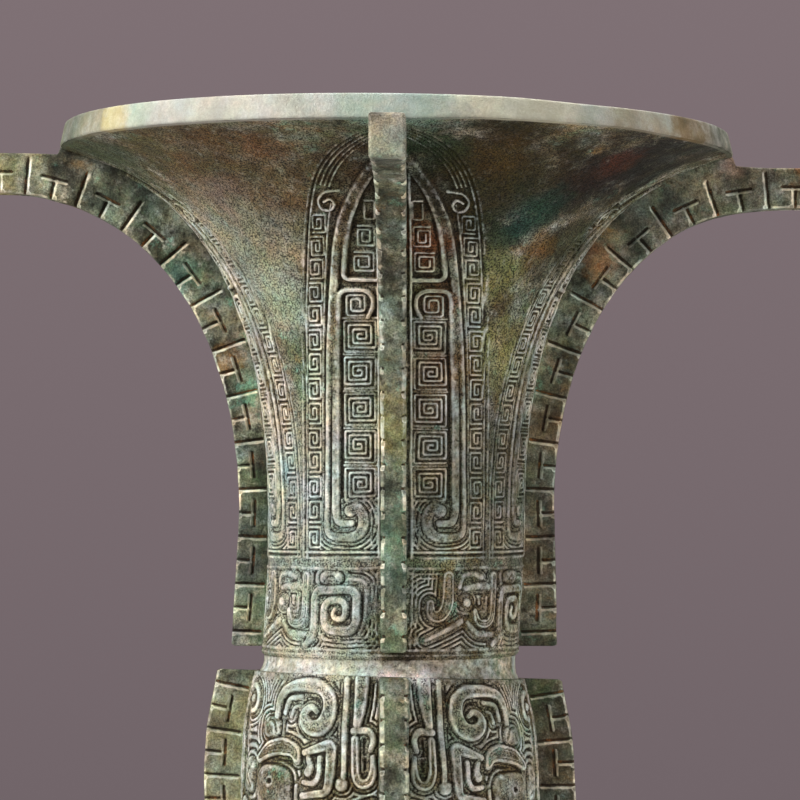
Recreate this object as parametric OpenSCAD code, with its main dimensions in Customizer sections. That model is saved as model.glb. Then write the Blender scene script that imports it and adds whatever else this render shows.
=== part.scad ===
// Bronze zun wine vessel with a slender trumpet neck, a banded belly and a flared foot.
// Neck, belly and foot are castings that seat in each other by a collar and a socket.
// Four rows of notched flanges are let into grooves in the walls, one row on each side.
// Millimetres, +Z up, origin on the axis at the level that the foot stands on, front at -Y.

/* [Neck] */
// Height of the neck from the bottom of its band to the rim
neck_h = 157; // [145:1:175]
// Outer radius of the waist
neck_r = 38; // [36:0.5:40]
// Height of the upright stretch below the flare
waist_h = 40; // [34:1:46]
// Outer radius of the mouth
mouth_r = 100; // [92:1:108]
// Wall thickness of the neck
neck_wall = 4; // [3:0.25:4.5]
// Thickness of the rim's edge
rim_t = 8; // [6:0.5:9]
// Softening of the rim's two edges
rim_soft = 0.8; // [0.4:0.1:1.2]
// How far the flare runs straight up before it opens
flare_lift = 55; // [48:1:60]
// How far the flare's last stretch reaches inward from the rim
flare_reach = 48; // [42:1:52]
// How far the flare's last stretch falls from the rim
flare_drop = 10; // [6:1:14]

/* [Belly] */
// Height of the belly
belly_h = 76; // [68:1:86]
// Outer radius of the belly at its top and bottom edges
belly_r = 41; // [40.5:0.25:43]
// How far the belly swells in the middle
belly_swell = 3; // [1:0.25:5]
// Wall thickness of the belly
belly_wall = 4; // [3.5:0.25:4.5]

/* [Foot] */
// Height of the foot
foot_h = 97; // [88:1:110]
// Outer radius of the foot's upright top
foot_top_r = 41; // [40.5:0.25:43]
// Height of the foot's upright top
foot_band_h = 15; // [11:1:20]
// Outer radius where the foot's flare meets its rim
foot_flare_r = 64; // [60:0.5:70]
// Height of the foot's rim
foot_rim_h = 14; // [10:0.5:17]
// How far the foot's rim stands out past the flare
foot_rim_step = 2.5; // [1.5:0.25:4]
// Wall thickness of the foot
foot_wall = 4; // [3.5:0.25:4.5]

/* [Joints between the castings] */
// Height of the plain groove above the belly
upper_groove_h = 6; // [4:0.5:9]
// Height of the plain groove below the belly
lower_groove_h = 6; // [4:0.5:9]
// Outer radius of the collars that show in the grooves
collar_r = 37.2; // [36:0.1:37.6]
// Wall thickness of the collars
collar_wall = 3.2; // [2.6:0.1:3.6]
// Thickness of the metal round a socket
socket_wall = 3.9; // [3.5:0.1:4.3]
// Depth of the sockets that take the collars
socket_depth = 5; // [4:0.5:7]
// Thickness of the ledge under a socket
ledge_t = 3; // [2:0.5:4]
// Gap round everything that seats in something else
seat_gap = 0.1; // [0.05:0.05:0.2]

/* [Floor] */
// Thickness of the vessel's floor
floor_t = 4; // [3:0.5:5]
// Least width of the shelf that carries the floor
shelf_w = 3; // [2:0.25:3.5]
// Side of the square casting spacers in the floor
spacer_side = 6; // [4:0.5:8]
// Distance of the spacers from the axis
spacer_ring_r = 20; // [14:0.5:26]

/* [Flanges] */
// Thickness of a neck flange at the waist
neck_flange_t = 7.1; // [6:0.1:8]
// Thickness of a neck flange at its tip
neck_tip_t = 9.8; // [8.5:0.1:11]
// How far a neck flange stands out from the waist
neck_flange_depth = 8.7; // [7:0.1:11]
// How much further it stands out at its foot
neck_flange_splay = 1.5; // [0:0.1:3]
// Reach of a neck flange's tip from the axis
tip_r = 128.5; // [118:0.5:136]
// Height of the arm at the tip
arm_h = 11.8; // [9:0.1:14]
// How far the arm's upper edge lies below the rim's lower edge
arm_drop = 1; // [0.5:0.1:4]
// Length of the arm's straight end
arm_straight = 10.5; // [6:0.5:14]
// How far above the neck's upright stretch a flange's sweep begins
sweep_lift = 3; // [0:0.5:8]
// Height of the neck flanges' lower ends above the neck's bottom edge
neck_flange_lift = 2; // [0:0.5:5]
// Thickness of the belly and foot flanges
flange_t = 8.3; // [6:0.1:10]
// How far a belly flange stands out
belly_flange_depth = 11; // [8:0.25:13]
// How far a foot flange stands out
foot_flange_depth = 10.5; // [8:0.25:13]
// Height of a foot flange's lower end above the foot's rim
foot_flange_lift = 2; // [1:0.5:5]
// How deep a flange's root lies in its groove
root_depth = 1; // [0.6:0.1:1.5]
// Spacing of the notches along a flange's edge
notch_pitch = 7; // [5:0.25:9]
// Width of a notch
notch_w = 1; // [0.6:0.1:1.4]
// Depth of a notch in the flange's side
notch_depth = 0.8; // [0.4:0.1:1.2]
// Length of the long notches
long_notch = 7.5; // [6:0.25:8.5]
// Length of the stem of a T-shaped notch
tee_stem = 4; // [3:0.25:5]
// Length of the bar of a T-shaped notch
tee_bar = 6; // [4:0.25:8]

/* [Ornament] */
// How far the limbs of the masks stand out
limb_rise = 1.1; // [0.6:0.1:1.5]
// Width of the masks' limbs
limb_w = 3; // [2:0.1:3.4]
// How far the masks' eyes stand out
eye_rise = 1.8; // [1:0.1:2.4]
// Width of a mask's eye
eye_w = 14; // [9:0.5:16]
// Height of a mask's eye
eye_h = 10.5; // [7:0.5:12]
// Plain margin above and below the foot's masks
mask_margin = 3; // [2:0.5:5]
// How far a leaf's border stands out from the neck
leaf_rise = 0.5; // [0.3:0.1:0.8]
// Degrees of the waist that a leaf takes up
leaf_span = 87; // [78:1:88]
// Height of the leaves' lower edge above the neck's bottom edge
leaf_lift = 28.5; // [24:0.5:34]
// Width of a leaf's border
leaf_border_w = 1.8; // [1:0.1:3]

/* [Hidden] */
SIDES = ["right", "back", "left", "front"];
curve_steps = 16;
swell_steps = 10;
spacer_count = 4;
overcut = 3;
quarter = 90;
leaf_steps = 9;
leaf_fullness = 6;
leaf_reach = 0.97;
degrees = 180 / PI;

// Levels of the sections, from the ground up
foot_top_z = foot_h;
belly_z = foot_top_z + lower_groove_h;
belly_top_z = belly_z + belly_h;
neck_z = belly_top_z + upper_groove_h;
rim_z = neck_z + neck_h;
upper_seat_z = belly_top_z - socket_depth;
lower_seat_z = foot_top_z - socket_depth;
floor_z = belly_z + belly_wall;

// Radii that fit each other
upper_spigot_r = belly_r - socket_wall - seat_gap;
lower_spigot_r = foot_top_r - socket_wall - seat_gap;
upper_bore_r = min(collar_r, upper_spigot_r) - collar_wall;
chamber_floor_r = belly_r_at(floor_z) - belly_wall;
lower_bore_r = min(min(collar_r, lower_spigot_r) - collar_wall, chamber_floor_r - shelf_w);
upper_ledge_r = upper_bore_r + seat_gap;
lower_ledge_r = lower_bore_r + seat_gap;
foot_rim_r = foot_flare_r + foot_rim_step;
foot_ring_bore_r = foot_flare_r - foot_wall / 2;

// The trumpet's outer curve, from the waist up to the rim's lower edge
rim_lean = atan(flare_drop / flare_reach);
flare_z = neck_z + waist_h;
rim_edge_z = rim_z - rim_t * cos(rim_lean);
flare_curve = [
    [neck_r, flare_z],
    [neck_r, flare_z + flare_lift],
    [mouth_r - flare_reach, rim_edge_z - flare_drop],
    [mouth_r, rim_edge_z]];

// The foot's outer curve, from its rim up to its upright top
foot_band_z = foot_top_z - foot_band_h;
foot_bend = foot_band_z - foot_rim_h;
foot_curve = [
    [foot_flare_r, foot_rim_h],
    [foot_top_r + 0.4 * (foot_flare_r - foot_top_r), foot_rim_h + 0.15 * foot_bend],
    [foot_top_r, foot_rim_h + 0.55 * foot_bend],
    [foot_top_r, foot_band_z]];

// The neck flange's free edge: a straight stretch, a sweep under the trumpet, and the arm
arm_top_z = rim_edge_z - arm_drop;
arm_z = arm_top_z - arm_h;
neck_flange_z = neck_z + neck_flange_lift;
sweep_r = neck_r + neck_flange_depth;
arm_r = tip_r - arm_straight;
sweep_curve = [
    [sweep_r, flare_z + sweep_lift],
    [sweep_r, flare_z + 0.85 * flare_lift],
    [mouth_r - 0.7 * flare_reach, arm_z],
    [arm_r, arm_z]];

// The foot flange's free edge
foot_flange_z = foot_rim_h + foot_flange_lift;
foot_edge_curve = [for (p = foot_curve) p + [foot_flange_depth, foot_flange_lift]];

// A point on a cubic curve, and the direction that the curve runs in there
function on_curve(c, t) =
    pow(1 - t, 3) * c[0] + 3 * t * pow(1 - t, 2) * c[1] + 3 * t * t * (1 - t) * c[2] + pow(t, 3) * c[3];
function run_of(c, t) =
    let (d = pow(1 - t, 2) * (c[1] - c[0]) + 2 * t * (1 - t) * (c[2] - c[1]) + t * t * (c[3] - c[2]))
    d / norm(d);
// The way out of the metal from a curve that runs upward along the outside of the vessel
function outward(c, t) = let (d = run_of(c, t)) [d[1], -d[0]];
function beside(c, t, depth) = on_curve(c, t) - depth * outward(c, t);
function reversed(list) = [for (i = [len(list) - 1 : -1 : 0]) list[i]];
// Points along a curve, at a depth below it
function along(c, depth) = [for (i = [0 : curve_steps]) beside(c, i / curve_steps, depth)];

// The neck's wall thickens towards the rim
function neck_wall_at(t) = neck_wall + (rim_t - neck_wall) * pow(t, 3);
function neck_inside() =
    [for (i = [0 : curve_steps]) let (t = i / curve_steps) beside(flare_curve, t, neck_wall_at(t))];

// The belly's radius at a level, and points up its side at a depth below the surface
function belly_r_at(z) =
    let (share = 2 * (z - belly_z) / belly_h - 1) belly_r + belly_swell * (1 - share * share);
function belly_side(depth, z0, z1) =
    [for (i = [0 : swell_steps]) let (z = z0 + (z1 - z0) * i / swell_steps) [belly_r_at(z) - depth, z]];

// The outer surfaces that the flanges are let into, at a depth below the surface
function neck_surface(depth) = concat([[neck_r - depth, neck_z - overcut]], along(flare_curve, depth));
function belly_surface(depth) = belly_side(depth, belly_z, belly_top_z);
function foot_surface(depth) = concat(along(foot_curve, depth), [[foot_top_r - depth, foot_top_z + overcut]]);

// A band that carries masks: its lowest level, its height, and the wall's radius level by level
belly_band = [belly_z, belly_h, [for (p = belly_side(0, belly_z, belly_top_z)) [p[1], p[0]]]];
foot_band = [
    foot_rim_h + mask_margin, foot_bend - 2 * mask_margin, [for (p = along(foot_curve, 0)) [p[1], p[0]]]];

// Where the masks' forms lie: degrees from the flange that is the nose, and shares of the band's height
mask_nose = [[11.5, 0.98], [12.5, 0.85], [14.5, 0.65], [8.8, 0.61]];
mask_horn = [
    [52, 0.8], [51, 0.9], [44, 0.95], [30, 0.95], [24.5, 0.89], [25.5, 0.81], [32, 0.785], [37.5, 0.84]];
mask_brow = [[59, 0.69], [50, 0.74], [39, 0.74]];
mask_lip = [[8, 0.53], [22, 0.485], [42, 0.4], [50, 0.33], [50.5, 0.25], [43, 0.215]];
mask_jaw = [[8, 0.28], [16, 0.2], [26, 0.155], [35, 0.17]];
mask_claw = [[61, 0.44], [69, 0.4], [71, 0.29], [66, 0.22], [59, 0.23]];
mask_side = [[76, 0.93], [79, 0.85], [76, 0.64], [79, 0.33], [75, 0.16]];
mask_limbs = [mask_nose, mask_horn, mask_brow, mask_lip, mask_jaw, mask_claw, mask_side];
mask_eye = [50.5, 0.585];

// A spot of a band seen straight on, from the bearing that its form is pushed out along
function on_band(band, spot, bearing) =
    let (z = band[0] + spot[1] * band[1]) [lookup(z, band[2]) * sin(spot[0] - bearing), z];
function middle_of(values) = (min(values) + max(values)) / 2;

// The outline of a limb of one width along a run of corners
function unit(v) = v / norm(v);
function left_of(v) = [-v[1], v[0]];
function corner_side(run, i) =
    let (last = len(run) - 1, before = unit(run[max(i, 1)] - run[max(i, 1) - 1]))
    let (after = unit(run[min(i + 1, last)] - run[min(i, last - 1)]), side = left_of(unit(before + after)))
    side / (side * left_of(before));
function limb_side(run, out) = [for (i = [0 : len(run) - 1]) run[i] + out * corner_side(run, i)];
function limb_outline(run) = concat(limb_side(run, limb_w / 2), reversed(limb_side(run, -limb_w / 2)));

// The eye's outline, a square with its corners taken off
function eye_outline(c) =
    let (w = eye_w / 2, h = eye_h / 2, cut = eye_h / 4)
    [for (s = [[-w, cut - h], [cut - w, -h], [w - cut, -h], [w, cut - h],
        [w, h - cut], [w - cut, h], [cut - w, h], [-w, h - cut]]) c + s];

// A leaf seen straight on: full at the waist, and pointed under the rim
function leaf_side(arc, reach) =
    [for (i = [0 : leaf_steps]) let (t = i / leaf_steps, p = on_curve(flare_curve, t * reach))
        [p[0] * sin(arc * (1 - pow(t, leaf_fullness)) / p[0] * degrees), p[1]]];
function leaf_outline(arc, z, reach) =
    let (side = leaf_side(arc, reach))
    concat([[side[0][0], z]], side, reversed([for (i = [0 : leaf_steps - 1]) [-side[i][0], side[i][1]]]),
        [[-side[0][0], z]]);

module revolved(points) {
    rotate_extrude($fn = 120) polygon(points);
}

// A shape pushed straight out from the axis along a bearing
module pushed_out(bearing) {
    rotate([0, 0, bearing]) rotate([90, 0, 90]) linear_extrude(height = 2 * mouth_r) children();
}

// The layer of a round wall that its relief stands in, from below the surface up to the relief's height
module relief_layer(top, bottom) {
    revolved(concat(top, reversed(bottom)));
}

// Masks at the front and at the back, each of two halves that mirror each other
module mask_halves() {
    for (face = [1, 3], half = [0, 1]) rotate([0, 0, quarter * face]) mirror([0, half, 0]) children();
}

module limbs(band) {
    mask_halves() for (limb = mask_limbs) {
        bearing = middle_of([for (spot = limb) spot[0]]);
        pushed_out(bearing) polygon(limb_outline([for (spot = limb) on_band(band, spot, bearing)]));
    }
}

module eyes(band) {
    mask_halves() pushed_out(mask_eye[0]) polygon(eye_outline(on_band(band, mask_eye, mask_eye[0])));
}

module leaves() {
    arc = neck_r * leaf_span / 2 / degrees;
    for (i = [0 : len(SIDES) - 1]) pushed_out(quarter * i) difference() {
        polygon(leaf_outline(arc, neck_z + leaf_lift, leaf_reach));
        polygon(leaf_outline(arc - leaf_border_w, neck_z + leaf_lift + leaf_border_w, leaf_reach * 0.94));
    }
}

// A slab in the plane of one flange, standing on the X axis, between two levels
module upright_slab(points, thickness, z0, z1) {
    intersection() {
        rotate([90, 0, 0]) linear_extrude(height = thickness, center = true) polygon(points);
        translate([0, -thickness, z0]) cube([2 * tip_r, 2 * thickness, z1 - z0]);
    }
}

// A body whose thickness grows from the axis side to the tip, as a neck flange does
module taper(r0, t0, r1, t1) {
    linear_extrude(height = 2 * rim_z) polygon([[r0, -t0 / 2], [r1, -t1 / 2], [r1, t1 / 2], [r0, t0 / 2]]);
}

// Neck flanges thicken outwards, and inset is what is taken off each side
module neck_taper(inset) {
    taper(neck_r, neck_flange_t - 2 * inset, tip_r, neck_tip_t - 2 * inset);
}

module plain_taper(inset) {
    taper(0, flange_t - 2 * inset, tip_r, flange_t - 2 * inset);
}

// The strip of wall that is cut away for a flange's root
module root_groove(outer, inner, z0, z1, thickness) {
    upright_slab(concat(inner, reversed(outer)), thickness + 2 * seat_gap, z0 - seat_gap, z1 + seat_gap);
}

// One notch in the plane of a flange: a long bar, or a short stem with a bar across its end
module notch(long) {
    w = notch_w / 2;
    if (long)
        polygon([[-overcut, -w], [long_notch, -w], [long_notch, w], [-overcut, w]]);
    else
        polygon([
            [-overcut, -w], [tee_stem - w, -w], [tee_stem - w, -tee_bar / 2], [tee_stem + w, -tee_bar / 2],
            [tee_stem + w, tee_bar / 2], [tee_stem - w, tee_bar / 2], [tee_stem - w, w], [-overcut, w]]);
}

// Notches along a free edge, each a place and the way that the edge runs there, by turns long and T-shaped
module notches(marks) {
    for (i = [0 : len(marks) - 1])
        translate([marks[i][0][0], 0, marks[i][0][1]])
            rotate([90, 0, 0])
                rotate([0, 0, atan2(marks[i][1][0], -marks[i][1][1])])
                    linear_extrude(height = 2 * neck_tip_t, center = true) notch(i % 2 == 0);
}

// Marks at the notch spacing along a straight stretch and along a curve of a known length
function straight_marks(p, q) =
    let (d = q - p, n = max(1, round(norm(d) / notch_pitch)))
    [for (i = [0 : n - 1]) [p + d * (i + 0.5) / n, d / norm(d)]];
function curve_length(c) =
    let (p = along(c, 0))
    [for (i = [1 : curve_steps]) norm(p[i] - p[i - 1])] * [for (i = [1 : curve_steps]) 1];
function curve_marks(c) =
    let (n = max(1, round(curve_length(c) / notch_pitch)))
    [for (i = [0 : n - 1]) let (t = (i + 0.5) / n) [on_curve(c, t), run_of(c, t)]];

// Outline of a neck flange: root in the wall, rim corner, arm, tip and free edge
neck_flange_foot = [sweep_r + neck_flange_splay, neck_flange_z];
neck_flange_outline = concat(
    neck_surface(root_depth - seat_gap),
    [[mouth_r + arm_drop, arm_top_z], [tip_r, arm_top_z], [tip_r, arm_z]],
    reversed(along(sweep_curve, 0)),
    [neck_flange_foot, neck_flange_foot - [0, overcut]]);
neck_flange_marks = concat(
    straight_marks(neck_flange_foot, sweep_curve[0]), curve_marks(sweep_curve),
    straight_marks([arm_r, arm_z], [tip_r, arm_z]));

belly_flange_outline = concat(
    belly_surface(root_depth - seat_gap), reversed(belly_side(-belly_flange_depth, belly_z, belly_top_z)));
belly_flange_marks = straight_marks(
    [belly_r + belly_swell / 2 + belly_flange_depth, belly_z],
    [belly_r + belly_swell / 2 + belly_flange_depth, belly_top_z]);

foot_flange_top = [foot_top_r + foot_flange_depth, foot_top_z];
foot_flange_outline = concat(
    foot_surface(root_depth - seat_gap),
    [foot_flange_top + [0, overcut]],
    reversed(along(foot_edge_curve, 0)));
foot_flange_marks = concat(
    curve_marks(foot_edge_curve), straight_marks(foot_edge_curve[3], foot_flange_top));

module neck() {
    color("darkseagreen") difference() {
        union() {
            revolved(concat(
                [[upper_bore_r, upper_seat_z], [upper_spigot_r, upper_seat_z]],
                [[upper_spigot_r, belly_top_z + seat_gap], [collar_r, belly_top_z + seat_gap]],
                [[collar_r, neck_z], [neck_r, neck_z]],
                [for (i = [0 : curve_steps - 1]) on_curve(flare_curve, i / curve_steps)],
                [mouth_r * [1, 0] + rim_edge_z * [0, 1] - rim_soft * run_of(flare_curve, 1)],
                [mouth_r * [1, 0] + rim_edge_z * [0, 1] - rim_soft * outward(flare_curve, 1)],
                [beside(flare_curve, 1, rim_t - rim_soft)],
                [beside(flare_curve, 1, rim_t) - rim_soft * run_of(flare_curve, 1)],
                reversed([for (i = [0 : curve_steps - 1]) neck_inside()[i]])));
            intersection() {
                leaves();
                relief_layer(neck_surface(-leaf_rise), neck_surface(root_depth));
            }
        }
        for (i = [0 : len(SIDES) - 1]) rotate([0, 0, quarter * i]) neck_groove();
    }
}

// The groove runs out past the rim's edge, and is as wide as the flange at every radius
module neck_groove() {
    past_rim = overcut * run_of(flare_curve, 1);
    intersection() {
        root_groove(
            concat(neck_surface(-overcut), [beside(flare_curve, 1, -overcut) + past_rim]),
            concat(neck_surface(root_depth), [beside(flare_curve, 1, root_depth) + past_rim]),
            neck_flange_z, rim_z, neck_tip_t);
        taper(neck_r - overcut, neck_flange_t + 2 * seat_gap, tip_r, neck_tip_t + 2 * seat_gap);
    }
}

module belly() {
    color("darkolivegreen") difference() {
        union() {
            revolved(concat(
                [[lower_bore_r, lower_seat_z], [lower_spigot_r, lower_seat_z]],
                [[lower_spigot_r, foot_top_z + seat_gap], [collar_r, foot_top_z + seat_gap]],
                [[collar_r, belly_z]],
                belly_side(0, belly_z, belly_top_z),
                [[upper_spigot_r + seat_gap, belly_top_z], [upper_spigot_r + seat_gap, upper_seat_z]],
                [[upper_ledge_r, upper_seat_z], [upper_ledge_r, upper_seat_z - ledge_t]],
                reversed(belly_side(belly_wall, floor_z, upper_seat_z - 2 * ledge_t)),
                [[lower_bore_r, floor_z]]));
            intersection() {
                limbs(belly_band);
                relief_layer(belly_surface(-limb_rise), belly_surface(root_depth));
            }
            intersection() {
                eyes(belly_band);
                relief_layer(belly_surface(-eye_rise), belly_surface(root_depth));
            }
        }
        for (i = [0 : len(SIDES) - 1]) rotate([0, 0, quarter * i])
            root_groove(
                belly_surface(-overcut), belly_surface(root_depth),
                belly_z - overcut, belly_top_z + overcut, flange_t);
    }
}

module vessel_floor() {
    color("peru") difference() {
        translate([0, 0, floor_z]) cylinder(h = floor_t, r = chamber_floor_r - seat_gap, $fn = 96);
        spacers(spacer_side + 2 * seat_gap, floor_t + 2 * overcut, floor_z - overcut);
    }
}

// Square bronze spacers that held the core off the mould and stayed in the floor
module spacers(side, height, z) {
    for (i = [0 : spacer_count - 1]) rotate([0, 0, quarter * (i + 0.5)])
        translate([spacer_ring_r - side / 2, -side / 2, z]) cube([side, side, height]);
}

module casting_spacers() {
    color("goldenrod") spacers(spacer_side, floor_t, floor_z);
}

module foot() {
    color("darkslategray") difference() {
        union() {
            revolved(concat(
                [[foot_ring_bore_r, 0], [foot_rim_r, 0], [foot_rim_r, foot_rim_h]],
                along(foot_curve, 0),
                [[foot_top_r, foot_top_z], [lower_spigot_r + seat_gap, foot_top_z]],
                [[lower_spigot_r + seat_gap, lower_seat_z], [lower_ledge_r, lower_seat_z]],
                [[lower_ledge_r, lower_seat_z - ledge_t]],
                reversed(along(foot_curve, foot_wall)),
                [[foot_ring_bore_r, foot_rim_h - foot_wall]]));
            intersection() {
                limbs(foot_band);
                relief_layer(along(foot_curve, -limb_rise), along(foot_curve, root_depth));
            }
            intersection() {
                eyes(foot_band);
                relief_layer(along(foot_curve, -eye_rise), along(foot_curve, root_depth));
            }
        }
        for (i = [0 : len(SIDES) - 1]) rotate([0, 0, quarter * i])
            root_groove(
                foot_surface(-overcut), foot_surface(root_depth),
                foot_flange_z, foot_top_z + overcut, flange_t);
    }
}

module neck_flange() {
    color("olivedrab") difference() {
        intersection() {
            upright_slab(neck_flange_outline, 2 * neck_tip_t, neck_flange_z, rim_z);
            neck_taper(0);
        }
        difference() {
            notches(neck_flange_marks);
            neck_taper(notch_depth);
        }
    }
}

// A flange of one thickness, with its outline, notches and levels
module plain_flange(outline, marks, z0, z1) {
    color("olivedrab") difference() {
        upright_slab(outline, flange_t, z0, z1);
        difference() {
            notches(marks);
            plain_taper(notch_depth);
        }
    }
}

module belly_flange() {
    plain_flange(belly_flange_outline, belly_flange_marks, belly_z, belly_top_z);
}

module foot_flange() {
    plain_flange(foot_flange_outline, foot_flange_marks, foot_flange_z, foot_top_z);
}

neck();
belly();
vessel_floor();
foot();
casting_spacers();
for (i = [0 : len(SIDES) - 1]) rotate([0, 0, quarter * i]) {
    neck_flange();
    belly_flange();
    foot_flange();
}
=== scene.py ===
"""A slender bronze zun wine vessel: cast walls with relief, notched flanges and an old patina."""
from __future__ import annotations

import logging
import math
from collections.abc import Callable, Iterable, Sequence
from dataclasses import dataclass, field
from enum import Enum

import bmesh
import bpy
import numpy as np
from mathutils import Matrix, Vector


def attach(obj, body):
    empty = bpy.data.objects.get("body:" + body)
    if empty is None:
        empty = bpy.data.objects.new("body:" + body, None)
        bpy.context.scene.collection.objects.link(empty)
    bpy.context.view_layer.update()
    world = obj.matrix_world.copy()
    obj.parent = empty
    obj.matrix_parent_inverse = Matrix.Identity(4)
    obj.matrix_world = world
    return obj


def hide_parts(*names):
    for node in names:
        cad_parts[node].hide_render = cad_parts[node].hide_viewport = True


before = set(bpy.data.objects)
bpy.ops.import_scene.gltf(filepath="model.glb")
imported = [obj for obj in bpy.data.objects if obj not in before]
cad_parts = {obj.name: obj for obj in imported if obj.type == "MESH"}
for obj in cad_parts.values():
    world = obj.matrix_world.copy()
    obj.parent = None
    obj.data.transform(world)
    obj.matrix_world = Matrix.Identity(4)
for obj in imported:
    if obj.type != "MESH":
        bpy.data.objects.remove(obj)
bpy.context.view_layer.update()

LOG = logging.getLogger("zun")
MM = 0.001
BAKE_MAP = "OFBake"
RELIEF = "relief"
BODY = "root"

Point = tuple[float, float]
Spot = tuple[float, float, float]
Stroke = Sequence[tuple[float, float, float]]
Colour = tuple[int, int, int]
Array = np.ndarray

# A quarter turn and half of it, in radians
QUARTER = math.pi / 2
HALF_QUARTER = math.pi / 4
# A length next to nothing, and one beyond every panel's reach
TINY = 1e-9
FAR = 99.0


class Side(Enum):
    """The four sides of the vessel, with the turn about the axis that takes the front there."""

    FRONT = 0
    RIGHT = 90
    BACK = 180
    LEFT = 270

    @property
    def word(self) -> str:
        """The side's name in a piece or node name."""
        return self.name.lower()


def rounded(points: Sequence[Point], radius: float, steps: int = 5) -> list[Point]:
    """Round the corners of an open path.

    Args:
        points: Corners of the path, in millimetres.
        radius: How far from a corner its bend starts, at most half of a leg.
        steps: Points in each bend.

    Returns:
        The path with a smooth bend at every inner corner.
    """
    corners = [np.array(p, float) for p in points]
    path = [corners[0]]
    for before, corner, after in zip(corners, corners[1:], corners[2:]):
        to_before, to_after = before - corner, after - corner
        long_before, long_after = np.linalg.norm(to_before), np.linalg.norm(to_after)
        start = corner + to_before * min(radius / long_before, 0.5)
        end = corner + to_after * min(radius / long_after, 0.5)
        for t in np.linspace(0, 1, steps):
            path.append((1 - t) ** 2 * start + 2 * t * (1 - t) * corner + t * t * end)
    path.append(corners[-1])
    return [(float(p[0]), float(p[1])) for p in path]


def headings(path: Array) -> Array:
    """Unit vectors along a path, one for each of its points."""
    run = np.gradient(path, axis=0)
    return run / np.maximum(np.linalg.norm(run, axis=1, keepdims=True), TINY)


def to_right(run: Array) -> Array:
    """Unit vectors to the right of some headings, which is outwards for a wall that is traced upwards."""
    return np.stack([run[:, 1], -run[:, 0]], 1)


def beside(points: Sequence[Point], distance: float) -> list[Point]:
    """Shift an open path sideways.

    Args:
        points: The path.
        distance: Shift to the left of the path's run, in millimetres.

    Returns:
        The shifted path, with as many points.
    """
    path = np.array(points, float)
    return [(float(x), float(y)) for x, y in path - distance * to_right(headings(path))]


def square_spiral(centre: Point, size: Point, pitch: float, flip: Point = (1, 1)) -> list[Point]:
    """A thunder scroll: a line that turns square corners inwards.

    Args:
        centre: Middle of the scroll.
        size: Its width and height.
        pitch: Distance between its turns.
        flip: Signs that mirror it across and along.

    Returns:
        The scroll's path from its outer end to its middle.
    """
    left, right, low, high = -size[0] / 2, size[0] / 2, -size[1] / 2, size[1] / 2
    least = 0.6 * pitch
    path = [(right, low)]
    while right - left > least and high - low > least:
        path += [(left, low), (left, high), (right, high)]
        low += pitch
        left += pitch
        path.append((right, low))
        right -= pitch
        high -= pitch
    return [(centre[0] + flip[0] * x, centre[1] + flip[1] * y) for x, y in path]


def cubic(corners: Sequence[Point], count: int) -> Array:
    """Points along a cubic curve.

    Args:
        corners: The curve's four control points.
        count: How many points.

    Returns:
        An array of points, one row each.
    """
    c = np.array(corners, float)
    t = np.linspace(0, 1, count)[:, None]
    return (1 - t) ** 3 * c[0] + 3 * t * (1 - t) ** 2 * c[1] + 3 * t**2 * (1 - t) * c[2] + t**3 * c[3]


def lengths_along(path: Array) -> Array:
    """Distance of each point of a path from its start."""
    return np.concatenate([[0.0], np.cumsum(np.linalg.norm(np.diff(path, axis=0), axis=1))])


def points_at(path: Array, along: Array, places: Array | Sequence[float]) -> Array:
    """Points at some distances along a path, given how far along it its own points lie."""
    return np.stack([np.interp(places, along, path[:, k]) for k in (0, 1)], 1)


def respaced(path: Array, spacing: float) -> Array:
    """The same path with evenly spaced points.

    Args:
        path: Points of the path.
        spacing: About how far apart the new points are.

    Returns:
        The new points, the path's two ends among them.
    """
    along = lengths_along(path)
    count = max(2, int(round(along[-1] / spacing)) + 1)
    return points_at(path, along, np.linspace(0, along[-1], count))


def smooth(share: Array) -> Array:
    """A share from 0 to 1, made to start and stop softly."""
    return share * share * (3 - 2 * share)


def eased(value: Array, start: float, stop: float) -> Array:
    """0 up to the start, 1 from the stop on, and a smooth rise between them."""
    return smooth(np.clip((value - start) / (stop - start), 0, 1))


def part_of(path: Array, start: float, stop: float) -> Array:
    """A stretch of a path.

    Args:
        path: Points of the whole path.
        start: Distance along it where the stretch starts.
        stop: Distance along it where the stretch stops.

    Returns:
        The stretch's points.
    """
    along = lengths_along(path)
    between = along[(along > start + 1e-6) & (along < stop - 1e-6)]
    return points_at(path, along, np.concatenate([[start], between, [stop]]))


@dataclass
class Grain:
    """Seeded bumps of one size that roughen a cast surface."""

    seed: int
    size: float
    cells: int = 256

    def __post_init__(self) -> None:
        """Draw the bumps' heights."""
        self.values = np.random.default_rng(self.seed).uniform(-1, 1, (self.cells, self.cells))

    def at(self, x: Array, y: Array) -> Array:
        """Height of the grain, from -1 to 1.

        Args:
            x: Places across, in millimetres.
            y: Places along, in millimetres.

        Returns:
            One height for each place.
        """
        u, v = x / self.size, y / self.size
        column, row = np.floor(u).astype(int), np.floor(v).astype(int)
        fu, fv = smooth(u - column), smooth(v - row)
        n = self.cells
        c0, c1, r0, r1 = column % n, (column + 1) % n, row % n, (row + 1) % n
        low = self.values[r0, c0] * (1 - fu) + self.values[r0, c1] * fu
        high = self.values[r1, c0] * (1 - fu) + self.values[r1, c1] * fu
        return low * (1 - fv) + high * fv


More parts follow.
